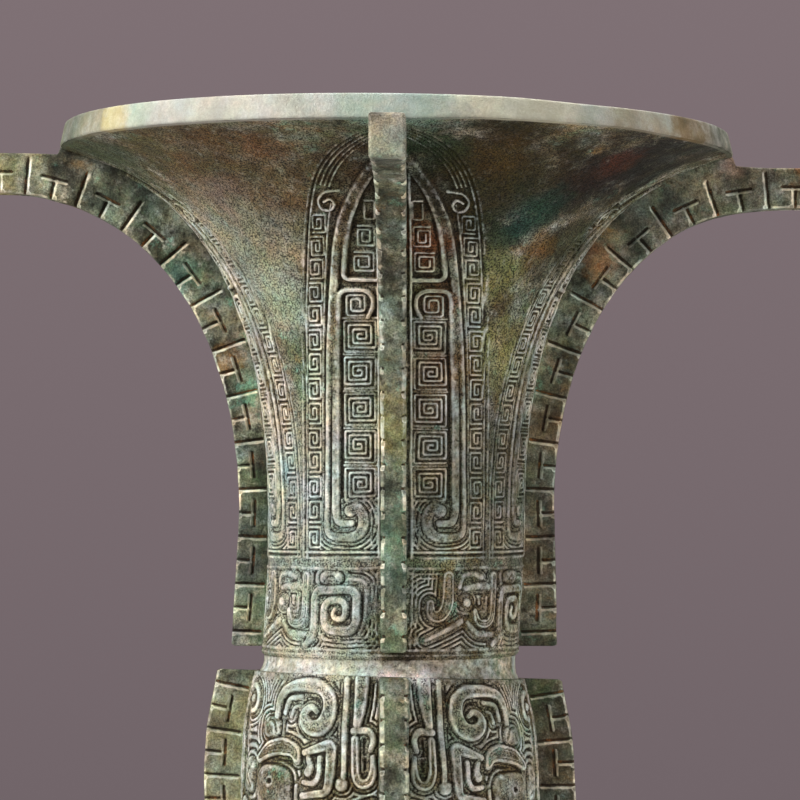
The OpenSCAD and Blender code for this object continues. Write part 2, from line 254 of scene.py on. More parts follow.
@dataclass
class ReliefPanel:
    """Cast relief on a flat sheet: heights in millimetres, before it is laid on a wall.

    Free is a place's distance from the nearest limb, and hollow is how far it stands out from what is round it.
    """

    across: Point
    along: Point
    cell: float = 0.12
    limb_reach: float = 7.0
    crown_run: float = 1.3
    incised_depth: float = 0.34
    incised_width: float = 0.2
    thread_gap: float = 0.05
    thread_half: float = 0.6
    thread_soft: float = 0.5

    def __post_init__(self) -> None:
        """Lay out a plain sheet, on which every place is far from a limb."""
        self.x = np.arange(self.across[0], self.across[1] + self.cell, self.cell)
        self.y = np.arange(self.along[0], self.along[1] + self.cell, self.cell)
        self.height = np.zeros((len(self.y), len(self.x)))
        self.free = np.full(self.height.shape, FAR)
        self.hollow = self.height

    def _edge(self, path: Sequence[Point], widths: Array, reach: float) -> tuple[tuple[slice, slice], Array]:
        """Distance to the edge of a stroke in the window round it.

        Args:
            path: The stroke's centre line.
            widths: Its width at each point of the path.
            reach: How far from the edge distances matter.

        Returns:
            The window in the panel, and the distances there, below 0 inside the stroke.
        """
        points, halves = np.array(path, float), widths / 2
        far = reach + halves.max()
        low, high = points.min(0) - far, points.max(0) + far
        c0, c1 = np.searchsorted(self.x, [low[0], high[0]])
        r0, r1 = np.searchsorted(self.y, [low[1], high[1]])
        gx, gy = self.x[c0:c1], self.y[r0:r1]
        distance = np.full((len(gy), len(gx)), FAR)
        for p, q, hp, hq in zip(points, points[1:], halves, halves[1:]):
            a0, a1 = np.searchsorted(gx, [min(p[0], q[0]) - far, max(p[0], q[0]) + far])
            b0, b1 = np.searchsorted(gy, [min(p[1], q[1]) - far, max(p[1], q[1]) + far])
            dx, dy = gx[None, a0:a1] - p[0], gy[b0:b1, None] - p[1]
            run = q - p
            t = np.clip((dx * run[0] + dy * run[1]) / max(run @ run, TINY), 0, 1)
            apart = np.hypot(dx - t * run[0], dy - t * run[1]) - (hp + (hq - hp) * t)
            np.minimum(distance[b0:b1, a0:a1], apart, out=distance[b0:b1, a0:a1])
        return (slice(r0, r1), slice(c0, c1)), distance

    def line(self, path: Sequence[Point], width: float, rise: float, soft: float = 0.36) -> None:
        """Raise a fine line.

        Args:
            path: The line's centre.
            width: Its width at half height.
            rise: Height of its top.
            soft: Width of its flanks.
        """
        window, edge = self._edge(path, np.full(len(path), width), soft)
        share = smooth(np.clip(0.5 - edge / soft, 0, 1))
        here = self.height[window]
        self.height[window] = np.maximum(here, here * (1 - share) + rise * share)

    def limb(self, stroke: Stroke, rise: float, bend: float = 2.0, soft: float = 0.6, crown: float = 0.2,
             incised: Sequence[float] = ()) -> None:
        """Raise a broad, tapering limb with a flat top.

        Args:
            stroke: Corners of its centre line, each with the limb's width there.
            rise: Height of its top.
            bend: How far from a corner its bend starts.
            soft: Width of its flanks.
            crown: How much lower the top's edges are than its middle.
            incised: Distances from the edge of fine lines cut along its top.
        """
        corners = [(x, y) for x, y, _ in stroke]
        path = rounded(corners, bend)
        places = lengths_along(np.array(corners))
        run = lengths_along(np.array(path))
        widths = np.interp(run / run[-1] * places[-1], places, [w for _, _, w in stroke])
        window, edge = self._edge(path, widths, self.limb_reach)
        share = smooth(np.clip(0.5 - edge / soft, 0, 1))
        top = rise - crown * np.clip(1 + edge / self.crown_run, 0, 1) ** 2
        for inset in incised:
            top = top - self.incised_depth * np.exp(-(((edge + inset) / self.incised_width) ** 2))
        here = self.height[window]
        self.height[window] = np.where(share > 0, here * (1 - share) + np.maximum(top, here) * share, here)
        np.minimum(self.free[window], edge, out=self.free[window])

    def groove(self, path: Sequence[Point], width: float, depth: float, soft: float = 0.3) -> None:
        """Cut a groove along a path.

        Args:
            path: The groove's centre line.
            width: Its width at half depth.
            depth: How deep it goes below what is there.
            soft: Width of its flanks.
        """
        window, edge = self._edge(path, np.full(len(path), width), soft)
        self.height[window] -= depth * smooth(np.clip(0.5 - edge / soft, 0, 1))

    def inside(self, outline: Sequence[Point]) -> Array:
        """Find the cells inside a closed outline.

        Args:
            outline: Its corners.

        Returns:
            True for each cell inside.
        """
        ring = list(outline) + [outline[0]]
        inside = np.zeros(self.height.shape, bool)
        for (x0, y0), (x1, y1) in zip(ring, ring[1:]):
            crossed = (y0 > self.y) != (y1 > self.y)
            where = x0 + (self.y - y0) * (x1 - x0) / (y1 - y0 if y1 != y0 else TINY)
            inside ^= crossed[:, None] & (self.x[None, :] < where[:, None])
        return inside

    def field(self, outline: Sequence[Point], level: float) -> None:
        """Set the ground inside an outline to a level."""
        self.height[self.inside(outline)] = level

    def threads(self, outline: Sequence[Point], pitch: float, low: float, high: float) -> None:
        """Fill the ground inside an outline with fine lines that run along the limbs.

        Args:
            outline: Corners of the closed outline.
            pitch: Distance between the lines.
            low: Level of the ground between them.
            high: Level of their tops.
        """
        where = self.inside(outline) & (self.free > self.thread_gap)
        apart = np.abs(self.free / pitch % 1 - 0.5) * 2
        filled = low + (high - low) * smooth(np.clip((self.thread_half - apart) / self.thread_soft + 0.5, 0, 1))
        self.height[where] = np.maximum(filled, np.where(self.height > 0, self.height, low))[where]

    def boss(self, centre: Point, size: Point, rise: float, square: float = 3.0) -> None:
        """Raise a rounded boss.

        Args:
            centre: Its middle.
            size: Its width and height.
            rise: Height of its middle.
            square: 2 for an ellipse, more for a squarer outline.
        """
        u = np.abs((self.x[None, :] - centre[0]) / (size[0] / 2))
        v = np.abs((self.y[:, None] - centre[1]) / (size[1] / 2))
        reach = (u**square + v**square) ** (1 / square)
        dome = np.clip(1 - reach**2, 0, 1) ** 0.45
        np.maximum(self.height, rise * dome, out=self.height, where=dome > 0)
        np.minimum(self.free, (reach - 1) * min(size) / 2, out=self.free)

    def settle(self, reach: float = 1.1) -> ReliefPanel:
        """Measure how far each place stands above or below what is round it.

        Args:
            reach: Half of the width that is averaged.

        Returns:
            The panel itself.
        """
        span = max(1, int(round(reach / self.cell)))
        mean = self.height
        for _ in range(2):
            for axis in (0, 1):
                pad = [(span + 1, span) if k == axis else (0, 0) for k in (0, 1)]
                total = np.cumsum(np.pad(mean, pad, mode="edge"), axis=axis)
                far = np.take(total, range(2 * span + 1, total.shape[axis]), axis=axis)
                near = np.take(total, range(0, total.shape[axis] - 2 * span - 1), axis=axis)
                mean = (far - near) / (2 * span + 1)
        self.hollow = self.height - mean
        return self

    def at(self, x: Array, y: Array) -> Array:
        """Height of the relief and its standing out at some places.

        Args:
            x: Places across.
            y: Places along.

        Returns:
            Two rows, height and standing out, with one value for each place, 0 outside the panel.
        """
        u = (x - self.x[0]) / self.cell
        v = (y - self.y[0]) / self.cell
        within = (u >= 0) & (v >= 0) & (u < len(self.x) - 1) & (v < len(self.y) - 1)
        column = np.clip(u.astype(int), 0, len(self.x) - 2)
        row = np.clip(v.astype(int), 0, len(self.y) - 2)
        fu, fv = u - column, v - row
        values = []
        for h in (self.height, self.hollow):
            low = h[row, column] * (1 - fu) + h[row, column + 1] * fu
            high = h[row + 1, column] * (1 - fu) + h[row + 1, column + 1] * fu
            values.append(np.where(within, low * (1 - fv) + high * fv, 0.0))
        return np.stack(values)


@dataclass
class LeafPanel:
    """Half of a plantain leaf on the neck, from its flange outwards; the other half mirrors it.

    Across is the distance from the flange's middle, along is the way up the wall from the neck's bottom edge.
    """

    fine: float = 0.64
    fine_rise: float = 0.2
    bold_rise: float = 0.6
    ground: float = -0.42
    scroll_pitch: float = 1.28
    outline: tuple[Point, ...] = ((28.5, 28.6), (28.6, 50), (28.5, 72), (27.9, 93), (26.9, 109), (25.9, 122.5),
                                  (24.9, 132), (23.4, 141), (21, 149.4), (17.6, 156.6), (13.2, 163), (7.4, 169),
                                  (0, 173.6))

    def build(self) -> ReliefPanel:
        """Stamp the half leaf.

        Returns:
            The panel with the leaf's relief.
        """
        panel = ReliefPanel((0, 30.5), (24, 178))
        edge = rounded(self.outline, 6)
        panel.field([(0, 28.6), *edge], self.ground)
        self._bands(panel)
        panel.threads([(4.9, 31), (22.6, 31), (22.2, 46), (4.9, 46)], 1.15, self.ground, self.fine_rise)
        self._border(panel, edge)
        self._outer_column(panel, edge)
        self._inner_column(panel)
        self._small_scrolls(panel)
        return panel.settle(0.8)

    def _thin(self, panel: ReliefPanel, path: Sequence[Point], width: float | None = None) -> None:
        """Raise one of the leaf's fine lines."""
        panel.line(path, width or self.fine, self.fine_rise)

    def _bands(self, panel: ReliefPanel) -> None:
        """The two smooth bands side by side, with the hook that closes them below and the shoulder hook.

        Args:
            panel: The panel to stamp it on.
        """
        panel.limb([(3, 156, 2.2), (7.2, 147.6, 2.4), (10.8, 139.6, 2.6), (14, 130.5, 2.8), (15.9, 121, 2.8),
                    (17.5, 106, 2.6), (18.9, 90, 2.2), (19.7, 70, 1.8), (20, 50, 1.7), (20.2, 36.6, 1.9),
                    (18.6, 34.6, 2.3), (11.4, 34.2, 2.9), (8.8, 36.8, 3.4), (8.7, 40.8, 3.4), (10.5, 43.6, 3.3),
                    (12.8, 42.3, 3.9)], self.bold_rise, 2.4)
        panel.limb([(12.4, 38.5, 2.2), (16.4, 38.5, 2.4), (17.3, 42, 2.6), (17.2, 70, 2.6), (16.7, 90, 2.4),
                    (16, 105.6, 2.0), (14.4, 107.2, 1.4), (8.4, 107.2, 1.2), (6.1, 105.6, 1.2), (5.8, 102, 1.2),
                    (7.4, 99, 1.2)], self.bold_rise + 0.1, 1.6)
        panel.limb([(4.8, 110.4, 1.2), (13.2, 110.5, 1.3), (14.3, 112, 1.7), (13.4, 122, 1.8), (12.1, 130, 1.8),
                    (9.2, 139.6, 1.7), (4, 150.4, 1.5)], self.bold_rise + 0.1, 1.2)
        curl = [(14.9, 140.2), (19.2, 139.8), (21.2, 136.6), (20, 133.1), (17, 132.8), (16, 135.4), (17.4, 137.4),
                (19.3, 136)]
        panel.line(rounded(curl, 1.4), 0.85, self.fine_rise + 0.15)

    def _border(self, panel: ReliefPanel, edge: Sequence[Point]) -> None:
        """Lines that follow the leaf's edge and close it at the bottom, and the line by the flange.

        Args:
            panel: The panel to stamp it on.
            edge: The leaf's outline.
        """
        self._thin(panel, edge, 0.8)
        self._thin(panel, beside(edge, 1.35))
        for inset in (2.8, 4.1, 5.4):
            self._thin(panel, [p for p in beside(edge, inset) if p[1] > 140.5])
        for level in (28.7, 30.2):
            self._thin(panel, [(4.2, level), (28.4, level)], 0.75)
        panel.line([(4.5, 29), (4.5, 150)], 0.8, self.fine_rise + 0.1)

    def _outer_column(self, panel: ReliefPanel, edge: Sequence[Point]) -> None:
        """Small scrolls in a row along the leaf's edge, between two lines.

        Args:
            panel: The panel to stamp it on.
            edge: The leaf's outline.
        """
        column = np.array(beside(edge, 4.25))
        self._thin(panel, [p for p in beside(edge, 7.05) if 31 < p[1] < 137])
        low, high, count = 34.5, 128.5, 14
        for i in range(count):
            level = low + (high - low) * i / (count - 1)
            middle = float(np.interp(level, column[:, 1], column[:, 0]))
            flip = (1, 1) if i % 2 else (1, -1)
            self._thin(panel, rounded(square_spiral((middle, level), (3.9, 5.8), 1.3, flip), 0.4))

    def _inner_column(self, panel: ReliefPanel) -> None:
        """Five large scrolls between the flange and the bands, with two small ones below them.

        Args:
            panel: The panel to stamp it on.
        """
        for i, level in enumerate((49.8, 60.7, 71.6, 82.4, 93.2)):
            flip = (1 if i % 2 else -1, 1)
            self._thin(panel, rounded(square_spiral((9.9, level), (9.0, 9.2), self.scroll_pitch, flip), 0.5), 0.68)
            self._thin(panel, [(5, level + 5.45), (14.8, level + 5.45)], 0.6)
        for level in (34.6, 40.4):
            self._thin(panel, rounded(square_spiral((5.9, level), (1.7, 4.8), 0.9), 0.3), 0.5)

    def _small_scrolls(self, panel: ReliefPanel) -> None:
        """The scroll under the hooked line and the three in the pointed arch.

        Args:
            panel: The panel to stamp it on.
        """
        self._thin(panel, rounded(square_spiral((10.9, 102.5), (5.2, 6.2), 1.25, (-1, 1)), 0.9))
        for (x, y), size in (((8.3, 116.1), (5.4, 5.8)), ((7.6, 124.4), (4.6, 6.4)), ((6.6, 133.2), (2.8, 6.4))):
            self._thin(panel, rounded(square_spiral((x, y), size, 1.2, (1, -1)), 0.6))


@dataclass
class DragonBand:
    """One dragon of the band under the leaves, from one flange to the next, facing the first flange."""

    fine_rise: float = 0.15
    bold_rise: float = 0.65
    ground: float = -0.42
    length: float = 59.7

    def build(self) -> ReliefPanel:
        """Stamp the dragon.

        Returns:
            The panel with the dragon's relief.
        """
        panel = ReliefPanel((0, self.length), (0, 28), 0.1)
        self._head(panel)
        self._tail(panel)
        panel.threads([(4.4, 2.7), (55.4, 2.7), (55.4, 25), (4.4, 25)], 1.2, self.ground, self.fine_rise)
        for level in (0.7, 2.2, 25.7):
            panel.line([(0, level), (self.length, level)], 0.8, 0.25)
        for inset in (0, 1.25):
            self._thin(panel, [(5.2 + inset, 3.6), (5.2 + inset, 24.2 - inset), (14 - inset, 24.2 - inset)])
        for inset in (0, 1.15, 2.3):
            corner = (54.9 - inset, 3.6 + inset)
            self._thin(panel, [(38 + 4 * inset, corner[1]), corner, (corner[0], 24.2 - inset)])
        self._thin(panel, rounded(square_spiral((41, 5.9), (5.4, 1.9), 0.95), 0.4))
        return panel.settle(0.8)

    def _thin(self, panel: ReliefPanel, path: Sequence[Point], width: float = 0.62) -> None:
        """Raise one of the band's fine lines."""
        panel.line(path, width, self.fine_rise + 0.05)

    def _head(self, panel: ReliefPanel) -> None:
        """Trunk, eye, brow, jaw and legs.

        Args:
            panel: The panel to stamp it on.
        """
        rise = self.bold_rise
        panel.limb([(16, 23.4, 3.4), (15.8, 15, 4.0), (13.6, 11.6, 3.8), (10.6, 12.4, 3.2), (10.4, 15.8, 2.4)],
                   rise + 0.3, 2.4, 0.9, incised=(0.95,))
        panel.limb([(20.2, 10.2, 1.9), (16, 8.2, 1.7), (9.4, 5.2, 1.2)], rise, 2)
        panel.limb([(22.4, 9.8, 1.7), (25.6, 6.8, 1.9), (34.4, 6.2, 1.9)], rise, 2)
        panel.boss((21.8, 15.6), (5.4, 5.2), 0.5, 2.4)
        panel.boss((21.8, 15.6), (3.1, 3.0), 1.25, 2.2)
        panel.limb([(19.7, 20.2, 1.5), (20.4, 23.6, 1.7), (24.4, 24.2, 1.9), (27.6, 22.8, 1.6)], rise, 2)
        panel.limb([(21.4, 19.8, 1.7), (25.4, 20.4, 2.2), (30.8, 20.2, 2.2)], rise, 2)
        panel.limb([(32.3, 23.6, 2.4), (32, 11.8, 2.6), (30.4, 9.6, 2.6), (26, 9.7, 2.4), (24.9, 13.2, 1.6)],
                   rise + 0.2, 1.6, 0.8, incised=(0.9,))
        panel.limb([(29.4, 17.2, 1.1), (29, 13.2, 1.1), (27, 13, 1.0)], rise - 0.1, 0.8)

    def _tail(self, panel: ReliefPanel) -> None:
        """The large scroll with its stem, the ear over it, and the outer bend.

        Args:
            panel: The panel to stamp it on.
        """
        rise = self.bold_rise
        panel.limb([(32.4, 3.4, 1.8), (34.6, 5.2, 2.4), (35.6, 8.2, 2.6), (35.6, 17.4, 2.6), (36.8, 19.4, 2.6),
                    (47.6, 19.6, 2.6), (49.3, 18, 2.7), (49.3, 9.6, 2.7), (47.4, 7.6, 2.7), (40.8, 7.7, 2.6),
                    (39, 9.6, 2.4), (39, 14.6, 2.3), (40.6, 16.4, 2.2), (44.6, 16.5, 2.2), (46, 15, 2.2),
                    (46, 12, 2.0), (44.6, 10.8, 1.8), (42.6, 11, 1.6), (41.8, 12.3, 1.4), (42.6, 13.8, 1.2)],
                   rise + 0.3, 1.5, 0.8)
        self._thin(panel, [(37.4, 4.6), (37.4, 6.4)])
        panel.limb([(46.8, 22.7, 1.2), (51, 22.3, 1.4), (52.2, 20, 1.4), (52, 10.8, 1.2), (50, 7.2, 1.0)],
                   rise - 0.1, 2.2)
        panel.boss((41, 23), (7.8, 4.2), rise + 0.3, 2.6)
        panel.groove(rounded([(38.8, 21.8), (41, 24), (43.2, 21.8)], 1.2), 0.45, 0.4)
        panel.groove([(39.8, 22), (42.2, 22)], 0.4, 0.35)


@dataclass
class MaskPanel:
    """Half of the animal mask on the belly, from the flange at its nose outwards; the other half mirrors it.

    Across is the distance from the nose flange's middle, along is the level above the ground.
    """

    fine_rise: float = 0.4
    bold_rise: float = 1.05
    ground: float = -0.3
    low: float = 103.0
    high: float = 179.0
    reach: float = 68.4

    def build(self) -> ReliefPanel:
        """Stamp the half mask.

        Returns:
            The panel with the mask's relief.
        """
        panel = ReliefPanel((0, self.reach), (self.low, self.high))
        self._nose(panel)
        self._horn(panel)
        self._brow_and_eye(panel)
        self._cheek(panel)
        self._jaw(panel)
        self._side_strip(panel)
        panel.threads([(4.7, 104.6), (63.6, 104.6), (63.6, 177.6), (4.7, 177.6)], 1.3, self.ground, self.fine_rise)
        for level in (self.low + 0.9, self.high - 0.8):
            panel.line([(0, level), (self.reach, level)], 1.2, 0.25)
        panel.line([(63.4, 104), (63.4, 178)], 0.9, 0.2)
        return panel.settle(0.8)

    def _limb(self, panel: ReliefPanel, stroke: Stroke, rise: float | None = None, bend: float = 2.4,
              incised: Sequence[float] = ()) -> None:
        """Raise one of the mask's limbs."""
        panel.limb(stroke, rise or self.bold_rise, bend, 0.6, 0.14, incised)

    def _nose(self, panel: ReliefPanel) -> None:
        """Ridges beside the flange with the nostril hook and the snout's curve.

        Args:
            panel: The panel to stamp it on.
        """
        self._limb(panel, [(9.3, 177.6, 4.6), (9.6, 172, 4.0), (10.5, 166.6, 2.6)], 1.3)
        self._limb(panel, [(14.2, 177.6, 2.0), (14, 164, 2.0), (14.4, 151, 1.8)], 1.1)
        panel.boss((14.8, 149.4), (4.2, 4.2), 1.4, 2.2)
        self._limb(panel, [(11.4, 164.7, 2.1), (6.9, 165.2, 2.2), (5.6, 162.6, 1.9), (6.6, 159.6, 1.4)], 1.2, 2)
        self._limb(panel, [(11, 162.4, 2.3), (10.9, 152.4, 2.6), (9.5, 149.7, 2.9), (6.8, 150.2, 2.7),
                           (5.7, 153.4, 2.2), (5.9, 157.6, 1.4)], 1.25, incised=(1.1,))
        panel.line(rounded(square_spiral((8, 155.6), (1.9, 4.2), 0.9), 0.4), 0.5, self.fine_rise)

    def _horn(self, panel: ReliefPanel) -> None:
        """The large C-shaped horn that swells below and curls to its middle, with its blunt tip.

        Args:
            panel: The panel to stamp it on.
        """
        self._limb(panel, [(38.2, 167.2, 2.0), (38, 172, 2.6), (35.4, 175.6, 2.9), (30, 176.4, 3.0), (22, 176, 3.5),
                           (19.2, 173.2, 4.4), (19, 168.6, 4.8), (21, 165, 5.0), (24.6, 164.4, 4.8), (27.4, 166.4, 3.8),
                           (27.6, 169.2, 2.8), (25.2, 170.8, 2.0), (23.4, 169.4, 1.4)], 1.45, 2.6)
        self._limb(panel, [(35.2, 168.4, 1.8), (34.2, 172.6, 1.8), (29.6, 173.2, 1.4)], 1.0, 1.6)
        self._limb(panel, [(32.6, 167.4, 1.3), (32, 170.2, 1.2), (30.4, 170.6, 1.0)], 0.9, 1)
        panel.boss((40.2, 163.8), (7.8, 6.6), 1.6, 3)
        panel.groove(rounded([(37.6, 162.6), (38.6, 165.6), (41.6, 166)], 1.4), 0.5, 0.5)

    def _brow_and_eye(self, panel: ReliefPanel) -> None:
        """The ribbed brow, the large squarish eye with its round pupil, and the ear outside it.

        Args:
            panel: The panel to stamp it on.
        """
        self._limb(panel, [(45, 154.6, 2.6), (40, 157.8, 4.8), (33.6, 159, 5.2), (29.6, 158, 4.2), (28.8, 155.2, 2.4)],
                   1.5, 2.4, (1.15, 2.1))
        panel.boss((38.2, 147.2), (15.4, 12.4), 2.3, 3.4)
        panel.groove([(38.4, 148.4), (38.9, 148.4)], 1.5, 0.8)
        self._limb(panel, [(29.2, 148, 1.3), (29.6, 140.8, 1.6), (38.4, 139, 1.7), (47.4, 140.8, 1.5)], 1.0)
        panel.boss((51, 149.6), (6.6, 10.8), 1.4, 2.8)
        panel.groove(rounded([(49.8, 146.4), (52, 149.4), (50, 152.6)], 1.4), 0.6, 0.6)

    def _cheek(self, panel: ReliefPanel) -> None:
        """The leaf-shaped cheek with its curls, between nose and eye.

        Args:
            panel: The panel to stamp it on.
        """
        self._limb(panel, [(26.4, 157.6, 2.0), (17.9, 160.6, 3.4), (18.5, 150, 2.9), (19.2, 146.8, 2.4),
                           (27, 145.4, 2.0)], 1.25, 1.6)
        self._limb(panel, [(21.6, 156.4, 1.8), (21.8, 151, 1.8), (23.4, 148.8, 1.9), (26.6, 149.2, 1.6)], 1.0, 1.8)
        self._limb(panel, [(25.2, 156.2, 1.6), (24.4, 153.8, 2.2), (25.2, 152, 2.6)], 1.2, 1)

    def _jaw(self, panel: ReliefPanel) -> None:
        """Upper lip with its corner curl and fangs, the lower jaw and a claw.

        Args:
            panel: The panel to stamp it on.
        """
        self._limb(panel, [(5.6, 143.6, 3.2), (10.6, 141.4, 3.8), (17, 139.6, 4.0), (25, 136.6, 4.2), (33, 133, 4.4),
                           (38.8, 127.8, 4.6), (39, 121.8, 4.2), (35, 119, 3.4), (31.6, 121.4, 2.6), (33, 124.6, 1.8)],
                   1.35, 3)
        for x, tip in ((12.6, 129), (23, 126.4)):
            self._limb(panel, [(x, 138, 2.8), (x + 0.8, 133, 2.3), (x - 1.6, tip, 1)], 1.2, 2)
        self._limb(panel, [(5.6, 124.6, 2.8), (12, 118, 3.2), (19.6, 114.8, 3.4), (25.8, 115.2, 3.2), (27.4, 119, 2.6),
                           (24.4, 120.8, 1.8)], 1.25, 3)
        self._limb(panel, [(5.6, 108.6, 1.7), (44, 108.6, 1.7)], 0.8)
        self._limb(panel, [(46.2, 136.6, 2.8), (52.2, 133.6, 3.4), (53.6, 125.4, 3.8), (50.4, 119.8, 3.4),
                           (45, 120.6, 2.4)], 1.25, 3)
        for tip in ((43.4, 115.2), (48, 113.6), (52.6, 114.4)):
            self._limb(panel, [(48.6, 119.4, 1.8), (*tip, 1)], 1.0)

    def _side_strip(self, panel: ReliefPanel) -> None:
        """The narrow upright dragon beside the outer flange.

        Args:
            panel: The panel to stamp it on.
        """
        self._limb(panel, [(57.8, 174, 2.2), (60.2, 170, 2.6), (59, 162, 2.6), (57.4, 152, 2.4), (58.6, 140, 2.6),
                           (60, 128, 2.6), (58, 118.4, 2.2), (55.2, 113.4, 1.4)], 1.1, 5, (0.75,))
        self._limb(panel, [(58, 174.2, 1.9), (54, 175.4, 2), (50, 172.8, 1.9), (50.4, 168.4, 1.8), (53.8, 167.6, 1.6)],
                   1.1)
        panel.boss((54.6, 171.2), (2.8, 2.8), 1.2, 2.2)
        self._limb(panel, [(57.4, 141, 1.8), (54.2, 143, 1.8), (52.4, 140, 1.4)], 1.0, 1.6)


@dataclass
class Stretch:
    """One stretch of a wall's section: a path of radius and level, how finely it is divided, and how it looks."""

    path: Array
    spacing: float
    ornamented: bool = False
    # A mark that adds to the relief's pale paint: wear and painted highlight
    wear_and_highlight: float = 0.0


@dataclass
class Section:
    """The closed section of a wall, up the outside and down the inside, as rows of a mesh."""

    stretches: Sequence[Stretch]

    def __post_init__(self) -> None:
        """String the stretches together and find which way is outwards at each row."""
        places, along, worked, wear_and_highlight = [], [], [], []
        done = 0.0
        for stretch in self.stretches:
            path = respaced(np.array(stretch.path, float), stretch.spacing)
            run = lengths_along(path)
            start = 1 if places and np.allclose(places[-1][-1], path[0], atol=1e-6) else 0
            places.append(path[start:])
            along.append(done + run[start:])
            done += run[-1] if stretch.ornamented else 0.0
            worked.append(np.full(len(run) - start, float(stretch.ornamented)))
            wear_and_highlight.append(np.full(len(run) - start, stretch.wear_and_highlight))
        self.place = np.concatenate(places)
        self.along = np.concatenate(along)
        self.wear_and_highlight = np.concatenate(wear_and_highlight)
        marked = np.concatenate(worked)
        self.worked = np.where(np.convolve(marked, np.ones(3) / 3, "same") < 0.99, 0.0, marked)
        self.outward = to_right(headings(self.place))

    @property
    def rows(self) -> int:
        """Number of rows."""
        return len(self.place)


def places_of(mesh: bpy.types.Mesh) -> Array:
    """Read where a mesh's vertices are.

    Args:
        mesh: The mesh.

    Returns:
        Their places in millimetres, one row each.
    """
    flat = np.empty(len(mesh.vertices) * 3)
    mesh.vertices.foreach_get("co", flat)
    return flat.reshape(-1, 3) / MM


def move_to(mesh: bpy.types.Mesh, places: Array) -> None:
    """Move a mesh's vertices to places in millimetres."""
    mesh.vertices.foreach_set("co", (places * MM).ravel())


@dataclass
class Shell:
    """A mesh in the making: a grid whose columns and rows are then laid on a form and closed.

    On the map the grid lies below and the caps lie in two strips above it.
    """

    name: str
    columns: int
    rows: int
    map_margin: float = 0.02
    map_width: float = 0.96
    map_height: float = 0.9
    cap_low: float = 0.935
    cap_step: float = 0.03
    cap_height: float = 0.024

    def form(self, lay: Callable[[Array, Array], tuple[Array, Array]]) -> bpy.types.Mesh:
        """Lay the grid on a form, close it where two of its sides meet and cap the two open ends.

        Args:
            lay: Gives places in millimetres and relief marks for arrays of column and row numbers.

        Returns:
            The closed mesh, in metres.
        """
        bm = bmesh.new()
        bm.loops.layers.uv.new(BAKE_MAP)
        bmesh.ops.create_grid(bm, x_segments=self.columns, y_segments=self.rows, size=1.0, calc_uvs=True)
        mesh = bpy.data.meshes.new(self.name)
        bm.to_mesh(mesh)
        grid = places_of(mesh) * MM
        column = np.rint((grid[:, 0] + 1) / 2 * self.columns).astype(int)
        row = np.rint((grid[:, 1] + 1) / 2 * self.rows).astype(int)
        places, marks = lay(column, row)
        move_to(mesh, places)
        mesh.attributes.new(RELIEF, "FLOAT", "POINT").data.foreach_set("value", marks.astype(np.float32))
        self._shrink_map(mesh)
        bm.clear()
        bm.from_mesh(mesh)
        bmesh.ops.remove_doubles(bm, verts=bm.verts, dist=1e-6)
        self._cap(bm)
        bm.to_mesh(mesh)
        bm.free()
        mesh.polygons.foreach_set("use_smooth", np.ones(len(mesh.polygons), bool))
        return mesh

    def _shrink_map(self, mesh: bpy.types.Mesh) -> None:
        """Leave room for the caps beside the grid on the map.

        Args:
            mesh: The grid, whose map fills the whole square.
        """
        layer = mesh.uv_layers[BAKE_MAP]
        uv = np.empty(len(mesh.loops) * 2)
        layer.uv.foreach_get("vector", uv)
        uv = uv.reshape(-1, 2) * (self.map_width, self.map_height) + self.map_margin
        layer.uv.foreach_set("vector", uv.ravel())

    def _cap(self, bm: bmesh.types.BMesh) -> None:
        """Fill the two open ends and give the caps their own strips of the map.

        Args:
            bm: The grid, joined where its sides meet.
        """
        open_edges = [e for e in bm.edges if e.is_boundary]
        for e in open_edges:
            e.smooth = False
        caps = bmesh.ops.edgeloop_fill(bm, edges=open_edges)["faces"]
        layer = bm.loops.layers.uv[BAKE_MAP]
        for i, cap in enumerate(caps):
            spots = [loop.vert.co for loop in cap.loops]
            low = [min(c[k] for c in spots) for k in range(3)]
            high = [max(c[k] for c in spots) for k in range(3)]
            wide, narrow = sorted(range(3), key=lambda k: low[k] - high[k])[:2]
            for loop in cap.loops:
                u = (loop.vert.co[wide] - low[wide]) / (high[wide] - low[wide])
                v = (loop.vert.co[narrow] - low[narrow]) / (high[narrow] - low[narrow])
                loop[layer].uv = (self.map_margin + self.map_width * u,
                                  self.cap_low + self.cap_step * i + self.cap_height * v)


